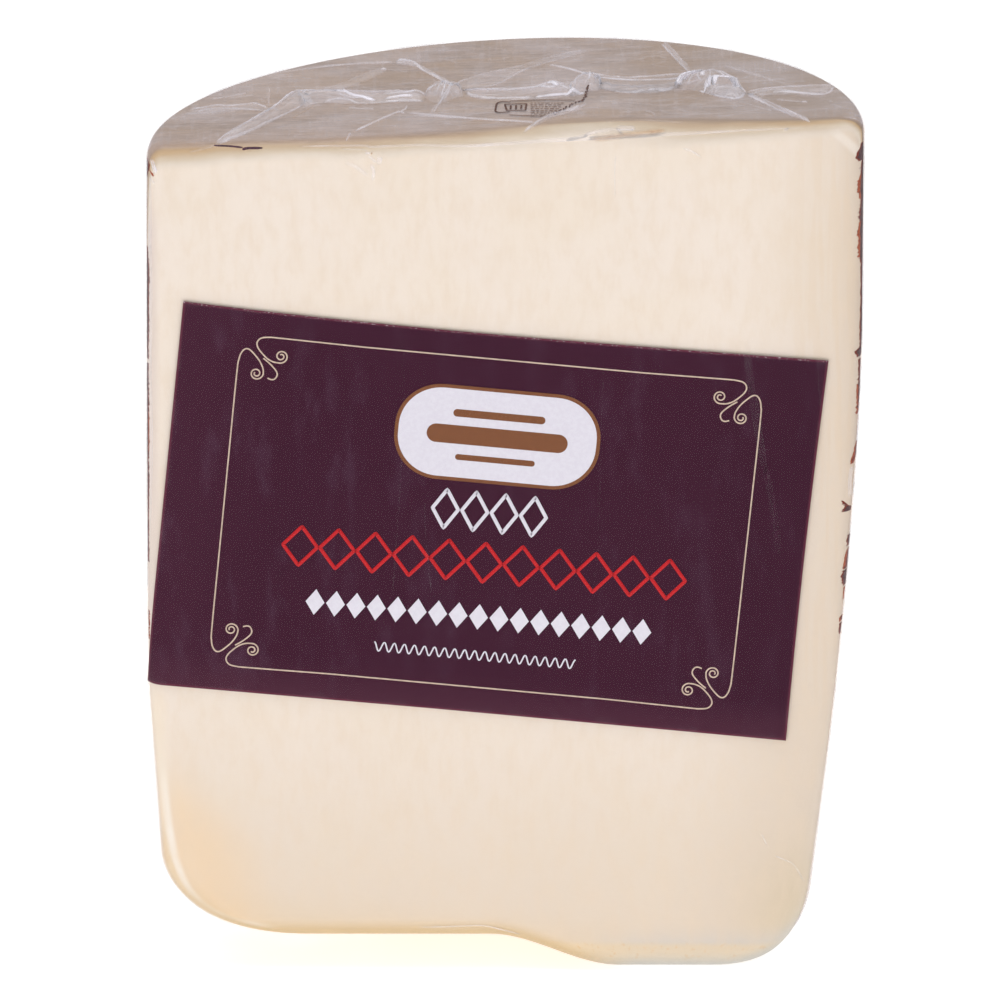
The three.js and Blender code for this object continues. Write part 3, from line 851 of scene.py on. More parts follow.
    # The rind, and the worn print that goes round it.
    mottle = f.noise(f.millimetres(), 13, 4, 0.6)
    worn = f.noise(f.millimetres((1.0, 1.0, 0.55)), 5, 4, 0.7)
    kept = f.step(worn, 0.43, 0.49) * f.step(around, PRINT_BARE, PRINT_BARE + 3.0)
    kept = kept * f.step(around, PRINT_ROUND - PRINT_BARE, PRINT_ROUND - PRINT_BARE - 3.0)
    dark, *others = [lozenge_row(f, around, z, *row) for row in DARK_LOZENGES]
    for row in others:
        dark = dark.larger(row)
    red, red_below = (lozenge_row(f, around, z, *row) for row in RED_LOZENGES)
    golden = f.over(
        f.blend(f.step(mottle, 0.32, 0.7), colour(240, 217, 182), colour(226, 191, 143)),
        (f.step(mottle, 0.62, 0.72) * 0.4, (204, 160, 104)),
        (dark * kept * 0.92, (74, 44, 50)),
        (red.larger(red_below) * kept * 0.9, (160, 52, 42)),
    )
    # Where the cheese looks down it is painted darker and greyer, as the shade under it.
    foot = f.blend(f.step(x, 20, 45), colour(195, 169, 126), colour(184, 180, 171))
    paste = f.blend(under, paste, foot)
    # High on the rind, where it turns up towards the top, it is painted lavender grey as shade like the
    # top's.
    golden = f.over(f.blend(under * 0.8, golden, foot), (rim * 0.85, (198, 187, 194)))
    grain = f.noise(f.millimetres(), 1.5, 1)
    fibre = f.noise(f.millimetres((0.14, 0.8, 0.14)), 1.5, 1)
    dimple = f.noise(f.millimetres(), 13, 1)
    relief = f.bump(fibre * f.step(past, 0, 2) * 0.3 + dimple * rind * 0.6 + grain * 0.1, 0.8)
    return f.surface(
        Base_Color=f.blend(rind, paste, golden),
        Roughness=0.42 + rind * 0.06,
        Normal=relief,
        Specular_IOR_Level=0.3,
    )


def film_finish():
    """Clear film drawn tight: it shows as a faint bloom, denser over the top and where it is seen edge on."""
    f = Finish("clear_film")
    haze, past = f.field("haze"), f.field("past_edge")
    grazing = f.add("ShaderNodeLayerWeight", sockets={"Blend": 0.18}, out="Facing")
    over_top = f.step(past, 0.5, 4)
    drawn = f.noise(f.millimetres((0.22, 0.8, 0.3)), 7, 2, 0.6)
    fine_lines = f.step((drawn - 0.5).size(), 0.022, 0.004)
    bloom = f.step(f.noise(f.millimetres((0.6, 1.0, 0.6)), 20, 2, 0.6), 0.36, 0.72)
    weave = f.step(f.noise(f.millimetres((2.0, 0.14, 0.14)), 2.2, 1), 0.5, 0.7)
    top_haze = over_top * (bloom * 0.2 + fine_lines * 0.1 + weave * 0.06 + 0.07)
    wrinkle = f.noise(f.millimetres(), 3.5, 0)
    return f.surface(
        Base_Color=colour(240, 234, 243),
        Roughness=0.16,
        Alpha=(haze + top_haze + grazing * grazing * 0.35).smaller(1.0),
        Normal=f.bump(wrinkle, 0.1),
        Specular_IOR_Level=0.6,
    )


def pleat_finish():
    """The same film where it is doubled and creased, with streaks that run along each pleat and a faint
    painted glow.
    """
    f = Finish("pleated_film")
    haze, along, across, rim = (f.field(name) for name in ("haze", "along", "across", "rim"))
    drawn = f.noise(f.vector(along * 0.07, across), 1.1, 2, 0.65)
    streaks = f.step(drawn, 0.5, 0.68)
    puckers = f.step(f.noise(f.vector(along, across * 0.35), 2.2, 1), 0.35, 0.7)
    seen = haze * (0.24 + streaks * 0.56 + puckers * 0.16) + haze * f.step(rim, 0.7, 0.2) * 0.12
    return f.surface(
        Base_Color=colour(243, 240, 248),
        Roughness=0.2,
        Alpha=seen.smaller(0.9),
        Normal=f.bump(drawn, 0.1),
        Specular_IOR_Level=0.7,
        # A faint glow from within is painted light that lifts the pleats' shaded sides.
        Emission_Color=colour(230, 226, 236),
        Emission_Strength=0.1,
    )


def oil_finish():
    """Soft-edged patches of golden oil under the film."""
    f = Finish("golden_oil")
    haze, rim = f.field("haze"), f.field("rim")
    patchy = f.noise(f.millimetres(), 3, 3, 0.6)
    seen = haze * f.step(rim, 0.0, 1.0) * (0.4 + patchy * 1.2)
    return f.surface(
        Base_Color=f.blend(f.step(patchy, 0.3, 0.7), colour(212, 164, 104), colour(190, 138, 80)),
        Roughness=0.3,
        Alpha=seen.smaller(1.0),
        Normal=f.bump(patchy, 0.05),
    )


def label_finish():
    """Plum coated paper with the film's bloom on it."""
    f = Finish("plum_paper")
    across, down = f.field("across"), f.field("down")
    bloom = f.step(f.noise(f.millimetres((1.0, 1.0, 0.35)), 9, 4, 0.65), 0.48, 0.76)
    fibre = f.noise(f.millimetres(), 0.8, 2, 0.6)
    edge = across.smaller(LABEL_WIDTH - across).smaller(down).smaller(LABEL_HEIGHT - down)
    specks = f.step(f.noise(f.millimetres(), 0.5, 1, 0.4), 0.6, 0.68) * f.step(down, 0.8, 0.3)
    plum = f.over(
        f.blend(bloom * (0.45 + f.step(across, 90, 0) * 0.5), colour(65, 28, 47), colour(80, 51, 70)),
        (f.step(across, 150, 210) * 0.4, (60, 26, 44)),
        (f.step(across, 40, 0) * 0.4, (78, 40, 58)),
        (f.step(down, 118, 133) * 0.7, (82, 44, 60)),
        (f.step(fibre, 0.4, 0.7) * 0.2, (54, 22, 42)),
        (f.step(edge, 1.1, 0.1) * 0.6, (122, 58, 74)),
        (specks * 0.9, (214, 200, 205)),
    )
    return f.surface(
        Base_Color=plum,
        Roughness=0.5,
        Normal=f.bump(fibre, 0.03),
        Specular_IOR_Level=0.04,
    )


def ink_finish(name, first, second, size=1.5, rim_shade=None):
    """Printed ink of one colour that varies a little, with another shade along its rim where it has one."""
    f = Finish(name)
    patchy = f.noise(f.millimetres(), size, 3, 0.6)
    shade = f.blend(f.step(patchy, 0.35, 0.65), colour(*first), colour(*second))
    if rim_shade:
        ragged = f.field("rim") + (patchy - 0.5) * 2.4
        shade = f.blend(f.step(ragged, 1.0, 0.5), shade, colour(*rim_shade))
    return f.surface(Base_Color=shade, Roughness=0.45, Normal=f.bump(patchy, 0.01), Specular_IOR_Level=0.15)


PROVOLONE = cheese_finish()
FILM = film_finish()
PLEATS = pleat_finish()
OIL = oil_finish()
PAPER = label_finish()
GOLD_INK = ink_finish("gold_ink", (218, 194, 176), (200, 176, 160))
WHITE_INK = ink_finish("white_ink", (229, 225, 235), (225, 220, 231))
RED_INK = ink_finish("red_ink", (203, 36, 42), (194, 31, 38))
BROWN_INK = ink_finish("brown_ink", (131, 82, 52), (125, 77, 49))
STAMP_INK = ink_finish("stamp_ink", (118, 86, 74), (150, 124, 112), size=0.8)
RAGGED_INK = ink_finish("ragged_stamp_ink", (84, 58, 50), (124, 90, 78), size=0.8)
MARK_INK = ink_finish("dark_mark", (58, 38, 54), (88, 56, 70), size=2.0)
PRINT_DARK = ink_finish("rind_print_dark", (62, 36, 36), (92, 62, 64), size=1.6, rim_shade=(124, 54, 40))
PRINT_RED = ink_finish("rind_print_red", (128, 50, 34), (84, 44, 42), size=1.6, rim_shade=(166, 84, 54))


# ---------------------------------------------------------------- the cheese

# How far up over the front top edge the pale paste reaches before the painted shade of the top begins, along
# x.
TOP_SHADE_STARTS = [
    (-114.4, 2.0), (-105.9, 1.7), (-98, 2.0), (-89.8, 3.0), (-77.7, 3.2), (-66.9, 3.3), (-50.2, 3.0),
    (-36.5, 3.4), (-24.4, 4.0), (-17.7, 4.4), (-6, 5.2), (5.3, 6.0), (16, 7.2), (31.5, 7.8), (42, 6.5),
    (57.8, 5.1), (68.4, 4.9), (84, 4.8), (98.3, 5.0), (103.7, 5.1), (107, 5.6), (112, 6.3),
]
SHARE = outline(HEIGHT, HEIGHT)[2]

# What the cheese's finish reads at each point: how much of it is rind, how far it looks down, how far it lies
# past the start of the top's painted shade, and how far round the rind it is from the right corner.
cheese_rings = RINGS + NORMALS * (DENTS - cheese_inset(SHARE))[..., None]
facing = ring_normals(cheese_rings)
high_up = RINGS[..., 2] > 200
low_left = smooth(RINGS[..., 2], 52, 34) * (RINGS[..., 0] < -40)
on_cuts = np.maximum(smooth(-facing[..., 1], -0.08, 0.2), smooth(facing[..., 2], 0.55, 0.8) * high_up)
rind_share = 1.0 - on_cuts
rind_share = np.maximum(rind_share, 0.6 * low_left * smooth(-facing[..., 1], 0.75, 0.45))
under = smooth(-facing[..., 2], 0.02, 0.8)
starts = np.interp(RINGS[..., 0], *np.array(TOP_SHADE_STARTS).T)
past_edge = np.clip((OVER_EDGE - starts) * SHARE + 10.0 * (1.0 - SHARE), -60, 60)
past_edge[: len(TOP)] = np.maximum(OVER_EDGE[: len(TOP)] - starts[: len(TOP)], 0.5)
steps_round = np.linalg.norm(np.roll(RINGS, -1, 1) - RINGS, axis=2)
arc = np.cumsum(steps_round, 1) - steps_round
around = np.maximum(arc - arc[:, FRONT_STEPS : FRONT_STEPS + 1], 0.0)
around = around * PRINT_ROUND / around[:, -1:]

cheese = new_mesh(
    "cheese",
    ring_points(cheese_rings),
    ring_faces(len(cheese_rings), cheese_rings.shape[1]),
    PROVOLONE,
    fields={
        "rind": at_points(rind_share),
        "past_edge": at_points(past_edge),
        "around": at_points(around),
        "corner": at_points(np.broadcast_to(1.0 - SHARE, around.shape)),
        "under": at_points(under),
        "rim": at_points(smooth(facing[..., 2], 0.02, 0.3) * high_up),
    },
)

# What is left of the rind's print on the corners, in flakes: their ink, and rows of z and of the millimetres
# round the corner from which the ink begins and at which it ends, where that isn't FLAKE_REACH.
FLAKE_REACH = 8.2  # round a corner, where the print of the rind itself begins
FLAKE_SHIFT = 0.3  # the flakes start this much further round than the rows say
RIGHT_FLAKES = [
    (PRINT_DARK, [(289, 4.3, 6), (287.5, 3.5), (286, 2.4), (284.5, 1.8), (283.7, 2.2), (283, 3.1, 8)]),
    (PRINT_DARK, [(285.3, 5), (282.2, 4.6), (279.2, 4), (276.3, 3.2), (274.1, 2.8), (271.8, 3.2),
        (270.1, 4), (267.8, 4), (266.4, 3.5), (264.2, 3.2), (262.5, 3.8), (260.3, 3.2), (258.1, 2.9),
        (255.7, 3.4), (253.5, 3.3), (251.6, 3), (249.6, 3.4), (249, 4.2), (245.1, 4.6), (239.4, 4.6),
        (231.7, 4.6), (224.2, 4.5), (218.6, 4.5)]),
    (PRINT_DARK, [(218.5, 3.6, 7), (217.6, 2.5, 7.5), (216.7, 2.4, 7.5), (215.6, 3, 6.5)]),
    (PRINT_DARK, [(214.6, 4.3, 6.5), (210, 4.7, 6.5), (206, 4.9, 6.5)]),
    (PRINT_RED, [(206, 4, 8), (202.2, 3.9, 8), (198.6, 4.5, 7), (195.6, 4.2, 6.5)]),
    (PRINT_RED, [(185.5, 6), (184.2, 5.1), (182.1, 4, 8), (180.3, 3, 6.5), (178.7, 3, 4.5)]),
    (PRINT_DARK, [(166.3, 0.5, 0.9), (165, 1.2, 2.6), (164.3, 1.6, 3.4), (163.5, 1.5, 5.5),
        (162.9, 0.9, 5.6), (162.3, 0.6, 5.4)]),
    (PRINT_DARK, [(153.5, 4.4, 7), (151.8, 4.2, 7), (149.9, 4.7, 6.6)]),
    (PRINT_RED, [(148.5, 5.7, 8), (147.3, 4, 7.5), (144.7, 3.4, 7.5), (141.9, 3.5, 7)]),
    (PRINT_DARK, [(141.4, 3.2, 7), (138.5, 3.2, 7), (136.1, 4.2, 7)]),
    (PRINT_RED, [(135.2, 4.8, 6.4), (133, 5, 6.2), (131, 5, 6.2)]),
    (PRINT_RED, [(125.3, 4.7, 7), (124.7, 3.6, 6.8), (123.5, 3.9, 6.2)]),
    (PRINT_DARK, [(122.8, 4.2, 6.6), (121, 4.3, 6.4), (119, 4.2, 6.2)]),
    (PRINT_RED, [(278, 3.5, 4.7), (276, 2.9, 4.6), (274, 2.5, 4.2), (272, 2.9, 4.4), (270, 3.7, 4.8)]),
    (PRINT_RED, [(262, 3.5, 4.6), (259, 2.8, 4.2), (256, 3, 4.6), (253, 3, 4.4), (250, 3.1, 4.4)]),
]
LEFT_FLAKES = [
    (PRINT_DARK, [(283.3, 6.9), (282.6, 5.4), (281.5, 4.4), (280.3, 4.4), (278.6, 5.6), (276.7, 6.9)]),
    (PRINT_RED, [(281.6, 5.8, 8), (280.6, 5.6), (279.6, 6, 8)]),
    (PRINT_RED, [(279.6, 3.8, 4.4), (278.6, 2.7, 3.4), (277.9, 1.8, 2.6)]),
    (PRINT_DARK, [(252.9, 5.8), (250, 5.3), (246.8, 4.5), (243.9, 4.3), (238.6, 4.6), (234.3, 4.6),
        (228.3, 4.6), (221.3, 4.8), (214.4, 4.7)]),
    (PRINT_DARK, [(213, 5, 8), (200, 4.7, 8), (186, 5, 8), (170, 4.8, 8), (158, 5.2, 8), (144, 5.1, 7)]),
    (PRINT_RED, [(196, 4.6, 5.4), (190, 4.5, 5.3), (182, 4.7, 5.3)]),
    (PRINT_RED, [(127, 5.3, 7), (122, 5, 7), (117, 5.3, 7)]),
]


def flake(side, rows, seed):
    """A flake of old print on the rind, ragged at the edge that shows."""

    def surface(a, z, out):
        return on_corner_cheese(side, a, z, out)

    first = [(start + FLAKE_SHIFT, z) for z, start, *_ in rows]
    second = [(min([*end, FLAKE_REACH]) + FLAKE_SHIFT, z) for z, _, *end in rows]
    return ribbon(surface, (first, second), INK_HEIGHT, 1.0, seed=seed, step=0.4, ragged=0.3, sunk=0.1)


prints = []
for ink, name in ((PRINT_DARK, "dark_rind_print"), (PRINT_RED, "red_rind_print")):
    flakes = []
    for side, rows_of_side in ((1, RIGHT_FLAKES), (-1, LEFT_FLAKES)):
        flakes += [flake(side, rows, 300 + n) for n, (shade, rows) in enumerate(rows_of_side) if shade is ink]
    prints.append(joined(name, flakes, ink))

# ---------------------------------------------------------------- the film

# The film shows more beside the label, over the rind and where it is stretched over the upright corners.
film_rings = RINGS + NORMALS * (DENTS + film_lift(RINGS))[..., None]
film_normals = ring_normals(film_rings)
cloudy = np.clip(ripples(RINGS, 26, 11) * 0.5 + 0.3, 0, 1)
bare = smooth(off_label(RINGS), 0.0, 6.0)
near_label = smooth(off_label(RINGS), 4.5, 0.8) * (off_label(RINGS) > 0)
at_corner = smooth(SHARE, 0.5, 0.3) * smooth(-ring_normals(film_rings)[..., 1], -0.16, -0.02)
at_corner = at_corner * (RINGS[..., 2] > 12) * smooth(OVER_EDGE, 0, -3)
film_haze = (0.004 + 0.014 * cloudy) * bare + 0.004 + 0.02 * near_label + 0.015 * rind_share + 0.3 * at_corner
film = new_mesh(
    "film",
    ring_points(film_rings),
    ring_faces(len(film_rings), film_rings.shape[1]),
    FILM,
    fields={"haze": at_points(film_haze), "past_edge": at_points(past_edge)},
)


def over_top(x, y, out):
    """A point over the top cut, on whatever pleats already lie there."""
    out = np.asarray(out, float)
    found = [FOLDS.find((a, b, 0.0)) for a, b in zip(np.ravel(x), np.ravel(y))]
    reach = np.array([distance for _, _, distance in found])
    lift = np.array([FOLD_HEIGHTS[index] for _, index, _ in found]) * smooth(reach, 1.3, 0.5)
    return on_top(x, y, out + lift.reshape(np.shape(x)))


band_bodies = [
    ribbon(on_top, (first, second), height, haze, seed=20 + n)
    for n, (haze, height, first, second) in enumerate(TOP_BANDS)
]
fold_points = np.vstack([rings.reshape(-1, 3) for rings, _ in band_bodies])
fold_points = fold_points[fold_points[:, 2] > top_at(fold_points[:, 0])]
FOLD_HEIGHTS = fold_points[:, 2] - top_at(fold_points[:, 0])
FOLDS = kdtree.KDTree(len(fold_points))
for n, point in enumerate(fold_points):
    FOLDS.insert((point[0], point[1], 0.0), n)
FOLDS.balance()

line_bodies = [
    stroke(over_top, path, width, haze, min(0.7, 0.25 + width * 0.3), seed=60 + n, step=0.9)
    for n, (haze, width, path) in enumerate(TOP_LINES)
]
edge_bodies = [
    stroke(on_edge, path, width, haze * 0.4, 0.12, seed=170 + n)
    for n, (haze, width, path) in enumerate(EDGE_LINES)
]
pleats = joined("film_pleats", band_bodies + line_bodies + edge_bodies, PLEATS)

oil_bodies = [
    stroke(on_top, path, width, haze, 0.06, seed=n) for n, (haze, width, path) in enumerate(TOP_STAINS)
] + [stroke(on_edge, path, width, haze, 0.05, seed=n) for n, (haze, width, path) in enumerate(EDGE_STAINS)]
oil = joined("golden_oil", oil_bodies, OIL)

# Creases of the film over the cut face: how far they show, width, and a path of x and z.
FRONT_CREASES = [
    # strokes near the front edge
    (0.4, 1.1, [(-43.6, 282.6), (-42.6, 280), (-43, 276.5)]),
    (0.14, 1.2, [(-52, 283.3), (-48, 281.2), (-44, 278)]),
    (0.14, 0.5, [(35.5, 285.5), (35.2, 279), (35.4, 271)]),
    (0.16, 0.7, [(57, 288), (60.5, 286.6), (63.5, 284.5)]),
    # fine scratches at the right and the line along the bottom
    (0.2, 0.5, [(83.9, 49.9), (84.9, 47.8), (86.1, 45.2)]),
    (0.18, 0.5, [(88.3, 42), (92, 40.3), (94.9, 38.1), (98.6, 30.2)]),
    (0.3, 0.6, [(-29.2, 16.2), (-20.5, 16.4), (-12.4, 16.8), (-6.6, 16.8), (-0.7, 14.9), (5.9, 13)]),
    # creases over the label
    (0.006, 0.5, [(-33.6, 226), (-33, 205), (-34, 180)]),
    (0.012, 0.4, [(-33.6, 185), (-35, 160), (-37, 132)]),
    (0.02, 0.4, [(-26.5, 168), (-26, 155), (-25, 142), (-24, 134)]),
    (0.006, 0.5, [(32, 222), (31, 190), (30.2, 150), (28, 132)]),
    (0.02, 0.4, [(101.2, 216), (101.6, 208), (102.4, 199)]),
    (0.014, 2.6, [(78.2, 222), (79, 212), (81.5, 195), (84.5, 176)]),
    (0.008, 2.4, [(84.5, 178), (87, 165), (89, 148)]),
]
crease_bodies = [
    stroke(on_front, path, width, haze, 0.12, seed=200 + n, step=1.2)
    for n, (haze, width, path) in enumerate(FRONT_CREASES)
]
# White film drawn down the left corner and a scuff lower on the right one: paths of around and z.
CORNER_CREASES = [
    (-1, 0.16, 1.6, [(4.2, 281), (3.9, 268), (3.8, 253), (3.6, 241), (3.7, 230), (3.9, 212), (3.6, 190),
        (4, 150)]),
    (-1, 0.4, 1.4, [(3.3, 284), (2.4, 281.5), (1.4, 279)]),
    (-1, 0.3, 0.8, [(4.0, 278), (3.0, 276.5), (1.8, 275.6)]),
    (1, 0.25, 1.6, [(3.6, 178), (3.2, 174), (3.6, 167)]),
]
for n, (side, haze, width, path) in enumerate(CORNER_CREASES):
    corner = lambda a, z, out, side=side: on_corner(side, a, z, out)
    crease_bodies.append(stroke(corner, path, width, haze, 0.1, seed=240 + n))
creases = joined("film_creases", crease_bodies, PLEATS)


BACK_ARC = 310.0  # the length of the way round the back
SIDE_TOP, SIDE_FOOT = HEIGHT - TOP_EDGE_RADIUS, BACK_END[0]


def on_rings(along, row, out):
    """A point over the film, millimetres round the back from right to left and at a ring."""
    column = FRONT_STEPS + CORNER_STEPS + along / BACK_ARC * BACK_STEPS
    i, j = np.floor(column).astype(int), np.floor(row).astype(int)
    u, v = (column - i)[..., None], (row - j)[..., None]

    def between(grid):
        upper = grid[j, i] * (1 - u) + grid[j, i + 1] * u
        lower = grid[j + 1, i] * (1 - u) + grid[j + 1, i + 1] * u
        return upper * (1 - v) + lower * v

    return between(film_rings) + between(film_normals) * out[..., None]


def on_rind(along, z, out):
    """A point over the rind, round the back and up from the floor."""
    return on_rings(along, len(TOP) + EDGE_RINGS + (SIDE_TOP - z) / (SIDE_TOP - SIDE_FOOT) * SIDE_RINGS, out)


# Long shallow creases that the shrinking leaves round the rind.
chance = np.random.default_rng(41)
back_bodies = []
for n in range(44):
    along, start, fall = chance.uniform(8, BACK_ARC - 8), chance.uniform(110, 280), chance.uniform(20, 70)
    drift = chance.normal(0, 12)
    path = [
        (np.clip(along + drift * k + chance.normal(0, 1.5), 3, BACK_ARC - 3), max(start - fall * k, 48))
        for k in (0, 0.33, 0.66, 1)
    ]
    tall = 0.2 if start > 240 else 0.45
    back_bodies.append(stroke(on_rind, path, chance.uniform(0.6, 2.6), 0.22, tall, seed=90 + n, step=1.5))
back_creases = joined("film_back_creases", back_bodies, PLEATS)

# ---------------------------------------------------------------- the label and its print


def label_point(across, down, out):
    """A point across and down the label, out from the cut face, bent round the left edge."""
    x = LABEL_CORNER[0] + across * math.cos(LABEL_TILT) + down * math.sin(LABEL_TILT)
    z = LABEL_CORNER[1] + across * math.sin(LABEL_TILT) - down * math.cos(LABEL_TILT)
    radius = cut_edge_at(z)
    edge = left_at(z, z) + radius
    angle = np.maximum(edge - x, 0.0) / (radius + LABEL_GAP)
    bent = x < edge
    return np.stack(
        [
            np.where(bent, edge - (radius + out) * np.sin(angle), x),
            np.where(bent, radius - (radius + out) * np.cos(angle), -out),
            z,
        ],
        -1,
    )


def label_piece():
    """The paper as a thin closed sheet."""
    across = np.concatenate([np.linspace(0, 12, 25), np.linspace(14, LABEL_WIDTH, 60)])
    down = np.linspace(0, LABEL_HEIGHT, 60)
    rows, columns = len(down), len(across)
    a, d = np.meshgrid(across, down)
    wave = 0.03 * ripples(np.stack([a, d, a * 0], -1), 40, 9)
    # The paper is cut a little hollow along the top and the right, and a little full at the low left.
    u, v = a / LABEL_WIDTH, d / LABEL_HEIGHT
    cut_d = d + (1 - v) * 1.6 * np.sin(math.pi * u**0.8) + v * 0.55 * np.maximum(0, 1 - u / 0.45)
    cut_a = a - u * 0.7 * np.sin(math.pi * v) - (1 - u) * (0.2 + 0.45 * v)
    front = label_point(cut_a, cut_d, PAPER_FRONT + wave)
    back = label_point(cut_a, cut_d, PAPER_FRONT - 0.18 + wave)
    loops = np.concatenate([front, back[:, ::-1]], 1)
    count = 2 * columns
    faces = []
    for r in range(rows - 1):
        for i in range(count):
            j = (i + 1) % count
            faces.append((r * count + i, (r + 1) * count + i, (r + 1) * count + j, r * count + j))
    for c in range(columns - 1):
        top = (c, c + 1, count - 2 - c, count - 1 - c)
        faces.append(top)
        faces.append(tuple((rows - 1) * count + i for i in reversed(top)))
    fields = {
        name: np.concatenate([grid, grid[:, ::-1]], 1).ravel() for name, grid in (("across", a), ("down", d))
    }
    return new_mesh("paper_label", loops.reshape(-1, 3), faces, PAPER, smooth_faces=False, fields=fields)


label = label_piece()


class Tree:
    """A Geometry Nodes tree with named inputs."""

    def __init__(self, name, **inputs):
        self.tree = bpy.data.node_groups.new(name, "GeometryNodeTree")
        self.inputs = {}
        kinds = {"Geometry": "NodeSocketGeometry", "Ink": "NodeSocketMaterial"}
        for key, value in {"Geometry": None, **inputs, "Ink": None}.items():
            kind = kinds.get(key) or ("NodeSocketInt" if isinstance(value, int) else "NodeSocketFloat")
            socket = self.tree.interface.new_socket(key.replace("_", " "), in_out="INPUT", socket_type=kind)
            if value is not None:
                socket.default_value = value
            self.inputs[key] = socket.identifier
        self.tree.interface.new_socket("Geometry", in_out="OUTPUT", socket_type="NodeSocketGeometry")
        self.start = self.tree.nodes.new("NodeGroupInput")

    def given(self, key):
        """The socket inside the tree that gives one of its inputs."""
        return self.start.outputs[key.replace("_", " ")]

    def add(self, kind, settings=None, **sockets):
        """The first output of a new node; names are its sockets with _ for spaces."""
        given = {key.replace("_", " "): value for key, value in sockets.items()}
        return new_node(self.tree, kind, settings, given).outputs[0]

    def end(self, geometry):
        """Ends the tree with real geometry in the ink that it is given."""
        real = self.add("GeometryNodeRealizeInstances", Geometry=geometry)
        inked = self.add("GeometryNodeSetMaterial", Geometry=real, Material=self.given("Ink"))
        self.tree.links.new(inked, self.tree.nodes.new("NodeGroupOutput").inputs[0])
        return self

    def make(self, name, source, ink, **values):
        """A plain mesh made by the tree from a source object's data, which is removed."""
        maker = linked(name + "_maker", source)
        modifier = maker.modifiers.new("make", "NODES")
        modifier.node_group = self.tree
        for key, value in {**values, "Ink": ink}.items():
            modifier[self.inputs[key]] = value
        maker.update_tag()
        bpy.context.view_layer.update()
        made = bpy.data.meshes.new_from_object(maker.evaluated_get(bpy.context.evaluated_depsgraph_get()))
        bpy.data.objects.remove(maker)
        made.name = name
        return linked(name, made)


def inked_line(tree, curve, width):
    """A flat curve as a printed line of a width and the tree's thickness."""
    even = tree.add("GeometryNodeResampleCurve", {"mode": "LENGTH"}, Curve=curve, Length=0.4)
    section = tree.add("GeometryNodeCurvePrimitiveQuadrilateral", Width=width, Height=tree.given("Thickness"))
    return tree.add("GeometryNodeCurveToMesh", Curve=even, Profile_Curve=section, Fill_Caps=True)


def drawn_line_tree():
    """A curve in a flat plane becomes a printed line of a width and a thickness."""
    tree = Tree("drawn_line", Line_Width=0.6, Thickness=0.05)
    return tree.end(inked_line(tree, tree.given("Geometry"), tree.given("Line_Width")))


def lozenge_row_tree(outlined):
    """A row of flat lozenges of even pitch, solid or only their outlines."""
    name = "outlined_lozenges" if outlined else "solid_lozenges"
    tree = Tree(name, Count=10, Pitch=13.0, Length=10.0, Width=5.0, Stroke=1.0, Thickness=0.05)
    step = tree.add("ShaderNodeCombineXYZ", X=tree.given("Pitch"))
    line = tree.add("GeometryNodeMeshLine", Count=tree.given("Count"), Offset=step)
    across, down = tree.given("Length"), tree.given("Width")
    if outlined:
        around_it = tree.add("GeometryNodeCurvePrimitiveCircle", Resolution=4, Radius=0.5)
        size = tree.add("ShaderNodeCombineXYZ", X=across, Y=down, Z=1.0)
        sized = tree.add("GeometryNodeTransform", Geometry=around_it, Scale=size)
        body = inked_line(tree, sized, tree.given("Stroke"))
        return tree.end(tree.add("GeometryNodeInstanceOnPoints", Points=line, Instance=body))
    body = tree.add("GeometryNodeMeshCylinder", Vertices=4, Radius=0.5, Depth=1.0)
    size = tree.add("ShaderNodeCombineXYZ", X=across, Y=down, Z=tree.given("Thickness"))
    return tree.end(tree.add("GeometryNodeInstanceOnPoints", Points=line, Instance=body, Scale=size))


DRAWN_LINE = drawn_line_tree()
OUTLINED_LOZENGES = lozenge_row_tree(True)
SOLID_LOZENGES = lozenge_row_tree(False)


def flat_curves(name, lines):
    """Lines of (x, y) points, each with whether it is closed, as one curve object's data."""
    data = bpy.data.curves.new(name, "CURVE")
    data.dimensions = "2D"
    data.fill_mode = "NONE"
    for points, closed in lines:
        spline = data.splines.new("POLY")
        spline.points.add(len(points) - 1)
        rows = np.column_stack([points, np.zeros(len(points)), np.ones(len(points))])
        spline.points.foreach_set("co", rows.ravel())
        spline.use_cyclic_u = closed
    return data


def moved(piece, mapping):
    """Moves a flat piece's points to where mapping puts them."""
    count = len(piece.data.vertices)
    flat = np.empty(count * 3)
    piece.data.vertices.foreach_get("co", flat)
    piece.data.vertices.foreach_set("co", place(mapping(*flat.reshape(-1, 3).T)).ravel())
    piece.data.update()
    return piece


def drawn(name, lines, width, ink, mapping):
    """Printed lines of one width, each given as points and whether it is closed."""
    made = DRAWN_LINE.make(name, flat_curves(name + "_paths", lines), ink, Line_Width=width, Thickness=0.05)
    return moved(made, mapping)


def on_label(x, y, z):
    """Flat (across, -down, thickness) on the face of the label."""
    return label_point(x, -y, PAPER_FRONT + 0.06 + z)


def on_stamp(x, y, z):
    """Flat (x, y, thickness) on the top cut."""
    return on_top(x, y, 0.03 + z)


def spiral(centre, start, turns, first, last, way):
    """Points winding in to a centre from an angle, from radius first to last."""
    t = np.linspace(0, 1, int(26 * turns))
    angle = start + way * 2 * math.pi * turns * t
    radius = first + (last - first) * t**0.8
    return np.column_stack([centre[0] + radius * np.cos(angle), centre[1] + radius * np.sin(angle)])


